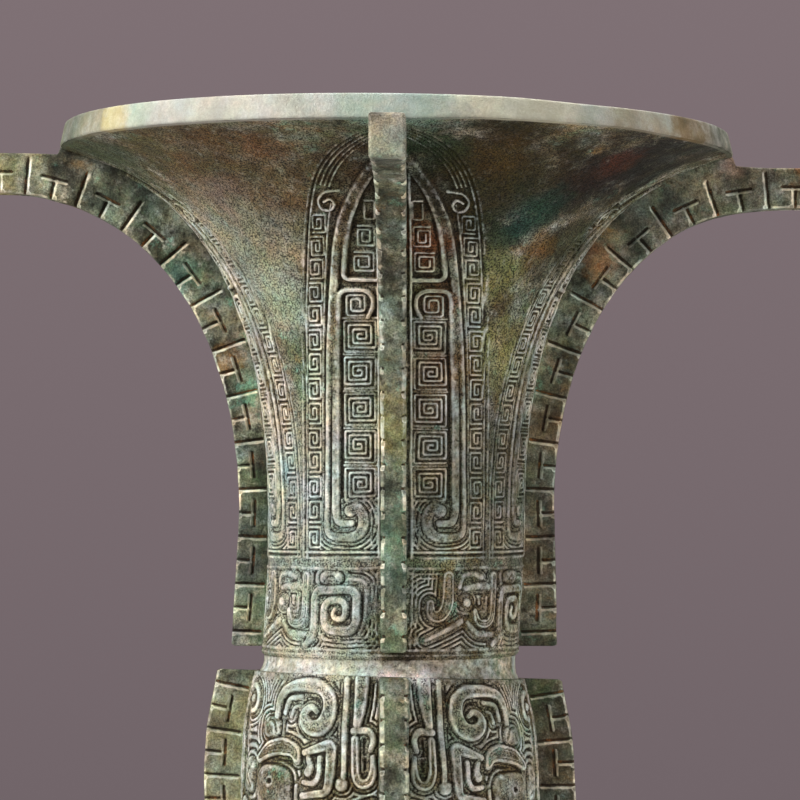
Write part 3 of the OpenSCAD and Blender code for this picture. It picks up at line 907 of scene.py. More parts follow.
@dataclass(frozen=True)
class Lean:
    """How the vessel is askew: the mouth sinks from its left arm to its right one, and the belly is set over.

    The setting over is nothing at the still depth in front of the axis, so that the front flanges stay in line.
    """

    # The mouth and the arms
    slope: float = 0.0135
    far_left: float = 128.5
    low: float = 215.0
    high: float = 332.0
    left_sag: float = -0.5
    right_sag: float = 1.3
    sag_start: float = 84.0
    sag_end: float = 112.0
    # The belly, the groove over it and the neck's lower part
    set_over: float = 2.2
    still_depth: float = 44.0
    drop: float = 0.5
    tilt: float = 0.03
    front_rise: float = 0.032
    rise_start: float = 176.3
    rise_end: float = 179.2
    belly_low: float = 104.0
    belly_full: float = 150.0
    belly_top: float = 176.0
    neck_still: float = 222.0
    groove_low: float = 180.0
    groove_top: float = 184.5
    edge_start: float = 38.0
    edge_end: float = 47.0

    def settle(self, mesh: bpy.types.Mesh, edge_share: float = 1.0) -> None:
        """Set a mesh over to the left and tilt it, by how near to the belly its places are.

        Args:
            mesh: A mesh in its final place.
            edge_share: How much of the way a flange's free edge goes with its root.
        """
        x, y, z = places_of(mesh).T
        above = eased(z, self.belly_low, self.belly_full)
        edge = 1 - (1 - edge_share) * eased(np.abs(x), self.edge_start, self.edge_end)
        over = self.set_over * (1 + y / self.still_depth) * (1 - eased(z, self.belly_top, self.neck_still))
        front = self.front_rise * y * eased(z, self.rise_start, self.rise_end)
        lower = (self.drop + self.tilt * x + front) * (1 - eased(z, self.groove_low, self.groove_top))
        move_to(mesh, np.stack([x - over * above * edge, y, z - lower * above], 1))

    def apply(self, mesh: bpy.types.Mesh, arm: bool = False) -> None:
        """Lower a mesh's places by where they are.

        Args:
            mesh: A mesh in its final place.
            arm: Whether it is a flange with an arm that sags beyond the rim.
        """
        x, y, z = places_of(mesh).T
        down = self.slope * (x + self.far_left) * eased(z, self.low, self.high)
        if arm:
            sag = np.where(x < 0, self.left_sag, self.right_sag)
            down += sag * eased(np.abs(x), self.sag_start, self.sag_end)
        move_to(mesh, np.stack([x, y, z - down], 1))


def turned(mesh: bpy.types.Mesh, name: str, degrees: float) -> bpy.types.Mesh:
    """A copy of a mesh turned about the vessel's axis.

    Args:
        mesh: The mesh to copy.
        name: The copy's name.
        degrees: The turn.

    Returns:
        The turned copy.
    """
    copy = mesh.copy()
    copy.name = name
    copy.transform(Matrix.Rotation(math.radians(degrees), 4, "Z"))
    return copy


def piece(mesh: bpy.types.Mesh, nodes: Iterable[str], material: bpy.types.Material) -> bpy.types.Object:
    """Put a mesh in the scene as a piece of the vessel.

    Args:
        mesh: The finished mesh, in place.
        nodes: The nodes of the frame that it stands for.
        material: Its finish.

    Returns:
        The object.
    """
    obj = bpy.data.objects.new(mesh.name, mesh)
    bpy.context.scene.collection.objects.link(obj)
    mesh.materials.clear()
    mesh.materials.append(material)
    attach(obj, BODY)
    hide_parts(*nodes)
    LOG.info("%s: %d faces", obj.name, len(mesh.polygons))
    return obj


@dataclass
class QuarterWall:
    """A quarter of a round wall, centred on its flange, with relief on its outside."""

    section: Section
    columns: int
    fine_reach: float = math.inf
    fine_share: float = 0.9
    waver: float = 0.22
    cast_rise: float = 0.07
    pit_rise: float = 0.05
    plain_edge: float = 1.5
    wobble: Grain = field(default_factory=lambda: Grain(3, 11.0))
    cast: Grain = field(default_factory=lambda: Grain(5, 2.3))
    pitting: Grain = field(default_factory=lambda: Grain(8, 0.7))

    def bearing(self, column: Array, radius: Array) -> Array:
        """Angle of each column from the flange.

        Columns lie closer together over the ornament, which keeps its width where the wall flares.

        Args:
            column: Column numbers.
            radius: Radius of the wall at each.

        Returns:
            Angles in radians.
        """
        share = column / self.columns * 2 - 1
        reach = np.minimum(self.fine_reach / radius, self.fine_share * HALF_QUARTER)
        far = np.maximum(np.abs(share) - self.fine_share, 0) / (1 - self.fine_share)
        near = np.minimum(np.abs(share) / self.fine_share, 1)
        return np.sign(share) * (near * reach + far * (HALF_QUARTER - reach))

    def mesh(self, name: str, relief: Callable[[Array, Array, Array], Array]) -> bpy.types.Mesh:
        """Build the quarter with its flange at the front.

        Args:
            name: The mesh's name.
            relief: Gives heights and standing out for arrays of angle, radius and distance along the ornament.

        Returns:
            The closed mesh.
        """
        s = self.section

        def lay(column: Array, row: Array) -> tuple[Array, Array]:
            """Lay the grid on the wall; the grain is shifted, so that its uses differ.

            Args:
                column: Column numbers.
                row: Row numbers.

            Returns:
                Places in millimetres and relief marks.
            """
            at = row % s.rows
            radius, level = s.place[at, 0], s.place[at, 1]
            angle = self.bearing(column, radius)
            arc = angle * radius
            sideways, upwards = self.wobble.at(arc + 40, level), self.wobble.at(level, arc + 90)
            raised, standing = relief(angle + self.waver * sideways / radius, radius,
                                      s.along[at] + self.waver * upwards) * s.worked[at]
            rough = self.cast_rise * self.cast.at(arc + 50, level) + self.pit_rise * self.pitting.at(arc, level + 30)
            edge = np.clip((HALF_QUARTER - np.abs(angle)) * radius / self.plain_edge, 0, 1)
            raised = raised + rough * edge * s.worked[at]
            r = radius + s.outward[at, 0] * raised
            z = level + s.outward[at, 1] * raised
            places = np.stack([r * np.sin(angle), -r * np.cos(angle), z], 1)
            return places, standing + s.wear_and_highlight[at]

        return Shell(name, self.columns, s.rows).form(lay)


@dataclass
class Neck:
    """The trumpet with its rim, four leaves and the dragon band."""

    radius: float = 38.0
    bottom: float = 185.0
    collar_radius: float = 37.2
    collar_bottom: float = 175.0
    fillet: tuple[Point, ...] = ((0, 175), (1.6, 178.4), (0.8, 179.6), (0.3, 180.7), (0.06, 182))
    wall: float = 4.0
    rim: float = 7.0
    rim_soft: float = 0.9
    lip_rise: float = 0.8
    lip_sink: float = 0.6
    flare: tuple[Point, ...] = ((38.0, 225.0), (38.0, 280.0), (52.0, 324.17), (100.0, 335.0))
    band_top: float = 26.6
    leaf_top: float = 150.0
    leaf_shift: float = 0.35
    leaf_stretch: float = 1.025
    # Painted shade under the flare: how much the leaf's pale marks are damped at its top
    under_flare_shade: float = 0.55
    columns: int = 174
    fine_reach: float = 26.9
    spacings: tuple[float, float, float] = (0.27, 0.345, 0.6)
    inner_spacing: float = 5.5
    chamfer: float = 0.8
    collar_worn: float = 0.17
    # The lip's pale mark: wear and the painted highlight on the rim's edge
    lip_wear_and_highlight: float = 0.3
    seam: float = 0.4
    shoulder_low: float = 105.0
    shoulder_run: float = 45.0
    lip_zone: Point = (70, 97)
    rise_from: Point = (5, 25)
    rise_to: Point = (62, 82)
    sink_from: Point = (30, 55)
    slot: str = "neck_patina"

    def outside(self) -> Array:
        """The neck's outside, from its bottom edge to the rim."""
        return np.vstack([[(self.radius, self.bottom)], cubic(self.flare, 400)])

    def section(self) -> Section:
        """The neck's section, from its collar up the outside, over the rim and down the bore.

        Returns:
            The section, with the band, the leaves and the web between their tips ornamented.
        """
        outer = self.outside()
        run = headings(outer)
        # From a sixth of the way up, the wall thickens towards the rim
        share = np.clip(np.linspace(-0.2, 1, len(outer)), 0, 1)[:, None]
        inner = outer - to_right(run) * (self.wall + (self.rim - self.wall) * share**3)
        soft, out = self.rim_soft, run[-1]
        lip = rounded([outer[-1] - soft * out, outer[-1], inner[-1], inner[-1] - soft * out], soft)
        bore = (self.radius - self.wall, self.collar_bottom)
        groove_top = (self.collar_radius, self.bottom - self.chamfer)
        collar = [(self.collar_radius + d, level) for d, level in self.fillet] + [groove_top]
        side = np.vstack([outer[:-1], [outer[-1] - soft * out]])
        band, leaf, web = self.spacings
        end = lengths_along(side)[-1]
        return Section([
            Stretch(np.array(collar), spacing=1.2, wear_and_highlight=self.collar_worn),
            Stretch(np.array([groove_top, (self.radius, self.bottom)]), spacing=0.4),
            Stretch(part_of(side, 0, self.band_top), band, ornamented=True),
            Stretch(part_of(side, self.band_top, self.leaf_top), leaf, ornamented=True),
            Stretch(part_of(side, self.leaf_top, end), web, ornamented=True),
            Stretch(np.array(lip), spacing=0.5, wear_and_highlight=self.lip_wear_and_highlight),
            Stretch(np.vstack([[inner[-1] - soft * out], inner[-2:0:-1], [bore]]), self.inner_spacing),
            Stretch(np.array([bore, (self.collar_radius, self.collar_bottom)]), spacing=1.5),
        ])

    def build(self, leaf: ReliefPanel, band: ReliefPanel, material: bpy.types.Material, lean: Lean) -> None:
        """Make the four quarters.

        Args:
            leaf: Half of a leaf.
            band: One dragon of the band.
            material: The neck's finish.
            lean: How the vessel is askew.
        """
        quarter = self.radius * QUARTER

        def relief(angle: Array, radius: Array, along: Array) -> Array:
            """The dragons below and the leaf above, whose pale marks are damped towards the leaf's top as painted shade
            under the flare.

            Args:
                angle: Angles from the flange.
                radius: Radius of the wall there.
                along: Distance up the ornament.

            Returns:
                Heights and standing out.
            """
            arc = angle * radius
            dragon = band.at(np.where(arc < 0, arc + quarter, arc), along)
            seam = np.clip((HALF_QUARTER - np.abs(angle)) * radius / self.seam, 0, 1)
            blade = leaf.at(np.abs(arc - self.leaf_shift) / self.leaf_stretch, along) * seam
            # Painted shade: the leaf's pale marks fade from the shoulder up, where the flare shades the wall
            painted_shade = self.under_flare_shade * np.clip((along - self.shoulder_low) / self.shoulder_run, 0, 1)
            blade[1] -= painted_shade * np.maximum(blade[1], 0)
            return np.where(along < self.band_top, dragon, blade)

        master = QuarterWall(self.section(), self.columns, self.fine_reach).mesh("neck_master", relief)
        for side in Side:
            mesh = turned(master, f"neck_quarter_{side.word}", side.value)
            self._wear_lip(mesh)
            lean.apply(mesh)
            lean.settle(mesh)
            piece(mesh, ["neck"], material)
        bpy.data.meshes.remove(master)

    def _wear_lip(self, mesh: bpy.types.Mesh) -> None:
        """Thin the lip from below and above on the right side of the mouth.

        Args:
            mesh: A quarter of the neck in its place, before it leans.
        """
        x, y, z = places_of(mesh).T
        flare = cubic(self.flare, 200)
        radius = np.hypot(x, y)
        height = np.clip((z - np.interp(radius, flare[:, 0], flare[:, 1])) / self.rim, 0, 1)
        rise = self.lip_rise * eased(x, *self.rise_from) * (1 - eased(x, *self.rise_to))
        sink = self.lip_sink * eased(x, *self.sink_from)
        up = eased(radius, *self.lip_zone) * ((1 - height) * rise - height * sink)
        move_to(mesh, np.stack([x, y, z + up], 1))


# How far round from a quarter's middle the nearest nose of a mask is, and the quarters of which that is true
NOSES = ((0.0, (Side.FRONT, Side.BACK)), (QUARTER, (Side.RIGHT, Side.LEFT)))


@dataclass
class Belly:
    """The swelling band with the mask, and the collar below it."""

    radius: float = 41.0
    swell: float = 3.0
    drawn_in: float = 1.0
    drawn_from: float = 158.0
    bottom: float = 103.0
    height: float = 76.0
    wall: float = 4.0
    collar_radius: float = 37.2
    collar_bore: float = 34.0
    collar_bottom: float = 93.0
    socket_radius: float = 37.35
    socket_level: float = 174.0
    chamber_low: float = 111.0
    chamber_high: float = 171.0
    mask_radius: float = 43.5
    columns: int = 182
    spacing: float = 0.38
    slot: str = "belly_patina"

    def side(self, inset: float) -> Array:
        """The belly's side from bottom to top.

        Args:
            inset: Depth below its surface.

        Returns:
            Points of radius and level.
        """
        share = np.linspace(-1, 1, 80)
        levels = self.bottom + self.height * (share + 1) / 2
        drawn = self.drawn_in * eased(levels, self.drawn_from, self.bottom + self.height)
        return np.stack([self.radius + self.swell * (1 - share**2) - drawn - inset, levels], 1)

    def section(self) -> Section:
        """The belly's section, from its collar up the outside and down the chamber to the floor's ledge.

        Returns:
            The section, with the side ornamented.
        """
        top = self.bottom + self.height
        inside = self.side(self.wall)
        chamber = inside[(inside[:, 1] > self.chamber_low) & (inside[:, 1] < self.chamber_high)]
        foot, corner = (self.collar_radius, self.collar_bottom), (self.collar_radius, self.bottom)
        lip = np.array([(self.radius - self.drawn_in, top), (self.socket_radius, top),
                        (self.socket_radius, self.socket_level)])
        bore = np.array([(self.collar_bore, self.bottom + self.wall), (self.collar_bore, self.collar_bottom)])
        return Section([
            Stretch(np.array([foot, corner]), spacing=1.2),
            Stretch(np.array([corner, (self.radius, self.bottom)]), spacing=0.6),
            Stretch(self.side(0), self.spacing, ornamented=True),
            Stretch(lip, spacing=0.7),
            Stretch(np.vstack([lip[-1:], chamber[::-1], bore]), spacing=4.0),
            Stretch(np.array([bore[-1], foot]), spacing=1.5),
        ])

    def build(self, mask: ReliefPanel, material: bpy.types.Material, lean: Lean) -> None:
        """Make the four quarters: two at the masks' noses and two at their edges.

        Args:
            mask: Half of a mask.
            material: The belly's finish.
            lean: How the vessel is askew.
        """
        levels, runs = self.side(0)[:, 1], lengths_along(self.side(0))
        wall = QuarterWall(self.section(), self.columns)
        for start, sides in NOSES:

            def relief(angle: Array, radius: Array, along: Array) -> Array:
                """The mask's heights and standing out, by angle and by distance up the side."""
                across = np.abs(start - np.abs(angle)) * self.mask_radius
                return mask.at(across, np.interp(along, runs, levels))

            master = wall.mesh("belly_master", relief)
            for side in sides:
                mesh = turned(master, f"belly_quarter_{side.word}", side.value)
                lean.settle(mesh)
                piece(mesh, ["belly"], material)
            bpy.data.meshes.remove(master)


@dataclass
class Foot:
    """The flared ring foot, with a dragon band and masks like the belly's."""

    top_radius: float = 41.0
    top: float = 97.0
    band_height: float = 15.0
    flare_radius: float = 64.0
    rim_radius: float = 66.5
    rim_height: float = 14.0
    bore: float = 62.0
    wall: float = 4.0
    socket_radius: float = 37.35
    socket_level: float = 92.0
    collar_bore: float = 34.1
    mask_radius: float = 43.5
    mask_low: float = 18.0
    mask_high: float = 79.5
    bend_shares: tuple[float, float, float] = (0.4, 0.15, 0.55)
    ring_soft: float = 0.8
    ring_bore: float = 10.0
    ledge: float = 3.0
    band_gap: float = 0.7
    band_margin: float = 1.0
    band_depth: float = 0.8
    dragon_height: float = 26.4
    columns: int = 152
    spacing: float = 0.5
    slot: str = "foot_patina"

    def side(self) -> Array:
        """The foot's outside from its rim to its top.

        Returns:
            Points of radius and level.
        """
        bend = self.top - self.band_height - self.rim_height
        out, low, high = self.bend_shares
        curve = cubic([(self.flare_radius, self.rim_height),
                       (self.top_radius + out * (self.flare_radius - self.top_radius), self.rim_height + low * bend),
                       (self.top_radius, self.rim_height + high * bend),
                       (self.top_radius, self.rim_height + bend)], 120)
        return np.vstack([curve, [(self.top_radius, self.top)]])

    def section(self) -> Section:
        """The foot's section, from its ring up the outside and down the hollow.

        Returns:
            The section, with the side ornamented.
        """
        side = self.side()
        inside = side - self.wall * to_right(headings(side))
        ring = rounded([(self.bore, 0), (self.rim_radius, 0), (self.rim_radius, self.rim_height),
                        (self.flare_radius, self.rim_height)], self.ring_soft)
        ledge = self.socket_level - self.ledge
        lip = np.array([(self.top_radius, self.top), (self.socket_radius, self.top),
                        (self.socket_radius, self.socket_level), (self.collar_bore, self.socket_level),
                        (self.collar_bore, ledge)])
        hollow = np.vstack([lip[-1:], inside[-2::-1], [(self.bore, self.ring_bore), (self.bore, 0)]])
        return Section([
            Stretch(np.array(ring), spacing=1.2),
            Stretch(side, self.spacing, ornamented=True),
            Stretch(lip, spacing=0.8),
            Stretch(hollow, spacing=4.0),
        ])

    def build(self, mask: ReliefPanel, band: ReliefPanel, material: bpy.types.Material) -> None:
        """Make the four quarters.

        Args:
            mask: Half of a mask.
            band: One dragon of the neck's band.
            material: The foot's finish.
        """
        side = self.side()
        runs, levels = lengths_along(side), side[:, 1]
        wall = QuarterWall(self.section(), self.columns)
        band_low = self.mask_high + self.band_gap
        squeeze = self.dragon_height / (self.top - self.band_margin - band_low)
        for start, sides in NOSES:

            def relief(angle: Array, radius: Array, along: Array) -> Array:
                """The mask below and the dragons above, squeezed to the foot's own heights.

                Args:
                    angle: Angles from the flange.
                    radius: Radius of the wall there, which they don't depend on.
                    along: Distance up the side.

                Returns:
                    Heights and standing out.
                """
                level = np.interp(along, runs, levels)
                share = (level - self.mask_low) / (self.mask_high - self.mask_low)
                from_nose = np.abs(start - np.abs(angle)) * self.mask_radius
                face = mask.at(from_nose, MaskPanel.low + (MaskPanel.high - MaskPanel.low) * np.clip(share, 0, 1))
                turn = np.where(angle < 0, angle + QUARTER, angle)
                dragon = self.band_depth * band.at(turn / QUARTER * DragonBand.length, (level - band_low) * squeeze)
                return np.where(level > band_low, dragon, np.where((share > 0) & (share < 1), face, 0.0))

            master = wall.mesh("foot_master", relief)
            for place in sides:
                mesh = turned(master, f"foot_quarter_{place.word}", place.value)
                piece(mesh, ["foot"], material)
            bpy.data.meshes.remove(master)


@dataclass(frozen=True)
class Mark:
    """A line by a notch, each one dirt, wear, or a painted highlight: its shift from the notch's middle, its width and
    its strength.
    """

    shift: float
    width: float
    strength: float


@dataclass
class Flange:
    """A notched flange in the plane of radius and level, standing on the front until it is turned."""

    tier: str
    root: Array
    seat: Array
    edge: Array
    thick_root: float
    thick_tip: float
    tip_radius: float
    spacing: float = 0.4
    root_columns: int = 7
    notch_columns: int = 22
    face_columns: int = 12
    corner: float = 0.8
    pitch: float = 7.1
    arm_pitch: float = 7.8
    first_notch: float = 0.5
    notch_width: float = 1.0
    notch_depth: float = 0.8
    notch_slope: float = 0.9
    long_share: float = 0.92
    longest: float = 10.5
    stem_share: float = 0.53
    longest_stem: float = 6.1
    bar: float = 7.4
    fine_depth: float = 7.6
    edge_share: float = 1.0
    wall_radius: float = 38.0
    panel_margins: Point = (16, 3)
    panel_cell: float = 0.15
    overrun: float = 2.0
    last_gap: float = 2.0
    arm_zone: Point = (70, 110)
    dirt: Mark = Mark(0.15, 0.7, 0.7)
    # Painted highlight: a pale line on the lit wall of each notch, with some wear
    lit_side_highlight: Mark = Mark(-0.65, 0.7, 0.36)
    mouth: Mark = Mark(0.5, 1.1, 0.5)
    smoothing: int = 15
    evenness: float = 0.07
    end_pull: float = 5.0
    cast_rise: float = 0.10
    wear_rise: float = 0.12
    edge_wear: float = 0.16
    # Bright paint on the flanges' rounded edges, wear and painted highlight together
    edge_bright: Point = (0.12, 0.3)
    slot: str = "flange_patina"
    cast: Grain = field(default_factory=lambda: Grain(21, 3.1))
    wear: Grain = field(default_factory=lambda: Grain(22, 6.0))

    def notches(self) -> tuple[ReliefPanel, ReliefPanel]:
        """The long and T-shaped notches along the free edge, by turns.

        Returns:
            A panel over radius and level with the notches cut in it, and one that tells where they are dirty, below 0,
            and worn or painted with a highlight on their lit wall, above 0.
        """
        low = self.edge.min(0) - self.panel_margins[0]
        high = np.vstack([self.edge, self.root]).max(0) + self.panel_margins[1]
        panel, tone = (ReliefPanel((low[0], high[0]), (low[1], high[1]), self.panel_cell) for _ in range(2))
        along = lengths_along(self.edge)
        for i, place in enumerate(self._notch_places()):
            spot, ahead, behind = points_at(self.edge, along, [place, place + 1, place - 1])
            run = (ahead - behind) / np.linalg.norm(ahead - behind)
            inward = np.array([-run[1], run[0]])
            depth = float(np.linalg.norm(self.root - spot, axis=1).min())
            t_shaped = i % 2 == 1
            share, longest = (self.stem_share, self.longest_stem) if t_shaped else (self.long_share, self.longest)
            middle = spot + min(share * depth, longest) * inward
            cuts = [(spot - self.overrun * inward, middle, run)]
            if t_shaped:
                cuts.append((middle - run * self.bar / 2, middle + run * self.bar / 2, inward))
            for first, last, across in cuts:
                panel.groove([first, last], self.notch_width, self.notch_depth, self.notch_slope)
                # The dark line is earth in the notch; the pale line on one wall only is a painted highlight of that lit
                # wall, with some wear
                dirt, lit_side_highlight = self.dirt.shift * across, self.lit_side_highlight.shift * across
                tone.groove([first + dirt, last + dirt], self.dirt.width, self.dirt.strength)
                tone.line([first + lit_side_highlight, last + lit_side_highlight], self.lit_side_highlight.width, self.lit_side_highlight.strength)
            beside_mouth = [spot - run - inward, spot - run + self.mouth.shift * inward]
            tone.line(beside_mouth, self.mouth.width, self.mouth.strength)
        np.maximum(panel.height, -self.notch_depth, out=panel.height)
        return panel, tone

    def _notch_places(self) -> list[float]:
        """Space the notches, wider apart on the arm.

        Returns:
            How far along the free edge each notch lies.
        """
        run = np.linspace(0, lengths_along(self.edge)[-1], 400)
        pitch = self.pitch + (self.arm_pitch - self.pitch) * eased(run, *self.arm_zone)
        number = np.concatenate([[0], np.cumsum(np.diff(run) / pitch[1:])])
        total = max(round(number[-1]), 1)
        places = np.interp(np.arange(total) + self.first_notch, number * total / number[-1], run)
        return [float(p) for p in places if p < run[-1] - self.last_gap]

    def _loop(self) -> Array:
        """The flange's cross-section as columns.

        Returns:
            For each column the share of the depth and an offset in millimetres, and the same across.
        """
        c = self.corner
        bend = np.linspace(0, QUARTER, 4)
        half: list[tuple[float, float, float, float]] = [(0, 0, 0, 0), (0, 0, 0.5, 0)]
        half += [(0, c * (1 - math.cos(t)), 1, -c * (1 - math.sin(t))) for t in bend]
        near = self.fine_depth
        half += [(f, c - f * (near + c), 1, 0) for f in np.linspace(0, 1, self.root_columns)[1:]]
        half += [(1, -near + f * (near - c), 1, 0) for f in np.linspace(0, 1, self.notch_columns)[1:-1]]
        half += [(1, -c * (1 - math.cos(t)), 1, -c * (1 - math.sin(t))) for t in bend[::-1]]
        face = [(1, 0, 1 - 2 * f, -c * (1 - 2 * f)) for f in np.linspace(0, 1, self.face_columns)[1:-1]]
        other = [(f, o, -a, -b) for f, o, a, b in half[:0:-1]]
        return np.array(half + face + other)

    def _rooted(self, edge: Array) -> Array:
        """Find where each place of the free edge meets the wall, a little below the wall's surface.

        The nearest places are smoothed and spread, so that the rows between them don't cross, and drawn to the
        root's two ends.

        Args:
            edge: Places along the free edge.

        Returns:
            One place of the root for each.
        """
        along = lengths_along(self.root)
        near = along[[int(np.argmin(np.linalg.norm(self.root - p, axis=1))) for p in edge]]
        near = np.maximum.accumulate(near)
        count, window = self.smoothing, 2 * self.smoothing + 1
        padded = np.concatenate([np.full(count, near[0]), near, np.full(count, near[-1])])
        even = np.linspace(near[0], near[-1], len(near))
        mean = np.convolve(padded, np.ones(window) / window, "valid")
        place = (1 - self.evenness) * mean + self.evenness * even
        run = lengths_along(edge)
        to_start = place[0] * np.exp(-run / self.end_pull)
        to_end = (along[-1] - place[-1]) * np.exp((run - run[-1]) / self.end_pull)
        return points_at(self.root + self.seat, along, place - to_start + to_end)

    def build(self, material: bpy.types.Material, lean: Lean) -> None:
        """Make the flange once and turn it to the four sides.

        Args:
            material: The flanges' finish.
            lean: How the vessel is askew.
        """
        edge = respaced(self.edge, self.spacing)
        along = lengths_along(edge)
        base = self._rooted(edge)
        loop = self._loop()
        panel, tone = self.notches()
        end = np.minimum(along, along[-1] - along)
        tuck = self.corner - np.sqrt(np.maximum(self.corner**2 - np.maximum(self.corner - end, 0) ** 2, 0))

        def lay(column: Array, row: Array) -> tuple[Array, Array]:
            """Lay the grid round the flange; the grain is shifted, so that its sides and uses differ.

            Args:
                column: Column numbers.
                row: Row numbers.

            Returns:
                Places in millimetres and relief marks.
            """
            share, offset, side, side_offset = loop[column % len(loop)].T
            start, stop = base[row], edge[row]
            depth = np.linalg.norm(stop - start, axis=1)
            way = (stop - start) / depth[:, None]
            spot = start + way * (share * depth + offset + tuck[row] * (1 - 2 * share))[:, None]
            grow = np.clip((spot[:, 0] - self.wall_radius) / (self.tip_radius - self.wall_radius), 0, 1)
            thick = self.thick_root + (self.thick_tip - self.thick_root) * grow
            flank = np.abs(side) > 0.999
            cut = panel.at(spot[:, 0], spot[:, 1])[0] * flank
            rough = (self.cast_rise * self.cast.at(spot[:, 0] + 40 * side, spot[:, 1])
                     + self.wear_rise * self.wear.at(spot[:, 0] + 70 * side, spot[:, 1] + 9))
            lateral = side * (thick / 2 + cut + rough - tuck[row]) + side_offset
            outer = (share > 0.99) & (offset > -1.01 * self.corner)
            out = spot + way * (self.edge_wear * self.wear.at(along[row], 30 * side) * outer)[:, None]
            # Painted highlight with wear along the rounded edges beside the flanks
            turn = outer & flank & (np.abs(side_offset) > 0.05)
            even, uneven = self.edge_bright
            bright = (even + uneven * self.wear.at(along[row], 17 + 40 * side)) * turn
            # Below 0 earth in the notches; above 0 wear and painted highlight
            wear_and_highlight = tone.at(spot[:, 0], spot[:, 1])[0] * flank + bright
            return np.stack([lateral, -out[:, 0], out[:, 1]], 1), wear_and_highlight

        master = Shell(f"{self.tier}_master", len(loop), len(edge) - 1).form(lay)
        for place in Side:
            name = f"{self.tier}_flange_{place.word}"
            mesh = turned(master, f"{name}_cast", place.value)
            lean.apply(mesh, arm=True)
            lean.settle(mesh, self.edge_share)
            piece(mesh, [name], material)
        bpy.data.meshes.remove(master)


@dataclass
class FlangeTiers:
    """The three tiers of flanges, with their roots sunk a little into the walls."""

    sunk: float = 0.9
    neck_low: float = 187.0
    neck_edge_low: float = 48.2
    sweep: tuple[Point, ...] = ((46.7, 228.0), (46.7, 271.75), (66.4, 321.37), (118.0, 321.37))
    arm_start: float = 100.8
    arm_top: float = 333.17
    arm_low: float = 321.37
    tip: float = 128.5
    neck_thick: float = 7.1
    tip_thick: float = 9.8
    neck_first: float = 0.65
    neck_edge_share: float = 0.4
    thick: float = 8.3
    belly_depth: float = 11.0
    belly_tip: float = 60.0
    foot_low: float = 16.0
    foot_shift: Point = (10.5, 2)
    foot_tip: float = 80.0

    def neck(self, neck: Neck) -> Flange:
        """The flange that sweeps out into an arm under the rim.

        Args:
            neck: The wall it stands on.

        Returns:
            The flange.
        """
        upright = np.stack([np.full(60, neck.radius), np.linspace(self.neck_low, neck.flare[0][1] - 0.5, 60)], 1)
        wall = np.vstack([upright, cubic(neck.flare, 300)])
        arm = np.stack([np.linspace(self.arm_start, self.tip, 60), np.full(60, self.arm_top)], 1)
        seat = np.vstack([-self.sunk * to_right(headings(wall)), np.zeros_like(arm)])
        edge = np.vstack([[(self.neck_edge_low, self.neck_low)], cubic(self.sweep, 200), [(self.tip, self.arm_low)]])
        return Flange("neck", np.vstack([wall, arm]), seat, edge, self.neck_thick, self.tip_thick, self.tip,
                      first_notch=self.neck_first, edge_share=self.neck_edge_share)

    def belly(self, belly: Belly) -> Flange:
        """The short flange that follows the belly's side.

        Args:
            belly: The wall it stands on.

        Returns:
            The flange.
        """
        root = belly.side(0)
        seat = np.tile([-self.sunk, 0.0], (len(root), 1))
        return Flange("belly", root, seat, belly.side(-self.belly_depth), self.thick, self.thick, self.belly_tip)

    def foot(self, foot: Foot) -> Flange:
        """The flange that follows the foot's flare.

        Args:
            foot: The wall it stands on.

        Returns:
            The flange.
        """
        side = foot.side()
        root, edge = side[side[:, 1] >= self.foot_low], side + self.foot_shift
        seat = np.tile([-self.sunk, 0.0], (len(root), 1))
        return Flange("foot", root, seat, edge[edge[:, 1] <= foot.top], self.thick, self.thick, self.foot_tip)

    def build(self, material: bpy.types.Material, lean: Lean) -> None:
        """Make the flanges of all three tiers."""
        for flange in (self.neck(Neck()), self.belly(Belly()), self.foot(Foot())):
            flange.build(material, lean)


def srgb(red: int, green: int, blue: int) -> tuple[float, float, float, float]:
    """Make a colour linear for a shader.

    Args:
        red: Red as the screen shows it, from 0 to 255.
        green: Green.
        blue: Blue.

    Returns:
        The linear colour, opaque.
    """
    parts = [c / 255 for c in (red, green, blue)]
    linear = [c / 12.92 if c <= 0.04045 else ((c + 0.055) / 1.055) ** 2.4 for c in parts]
    return (linear[0], linear[1], linear[2], 1.0)


class Cloud(Enum):
    """Cloudy noises: features per metre, octaves, strength of the finer ones, a shift of the pattern, distortion."""

    FRAY = (520, 5, 0.65, 2.2, 0.0)
    GRIT = (2000, 3, 0.7, 6.0, 0.0)
    PITS = (300, 5, 0.65, 2.9, 0.0)
    BODY = (70, 8, 0.68, 0.0, 0.0)
    PALE = (120, 8, 0.7, 3.1, 0.0)
    DARK = (330, 6, 0.7, 8.8, 0.0)
    GREEN = (52, 7, 0.7, 1.7, 0.6)
    TURQUOISE = (130, 7, 0.72, 7.3, 0.0)
    OCHRE = (64, 7, 0.74, 9.1, 0.4)
    STAIN = (75, 7, 0.72, 5.5, 0.0)
    EARTH = (210, 6, 0.7, 11.6, 0.0)
    SILT = (115, 6, 0.7, 17.2, 0.0)
    WEAR = (160, 7, 0.72, 4.4, 0.0)
    WARMTH = (105, 8, 0.72, 12.4, 0.0)
    REDNESS = (85, 8, 0.72, 14.9, 0.0)
    DEPTH = (110, 6, 0.66, 20.3, 0.0)
    FLOOR = (9, 4, 0.5, 0.0, 0.0)


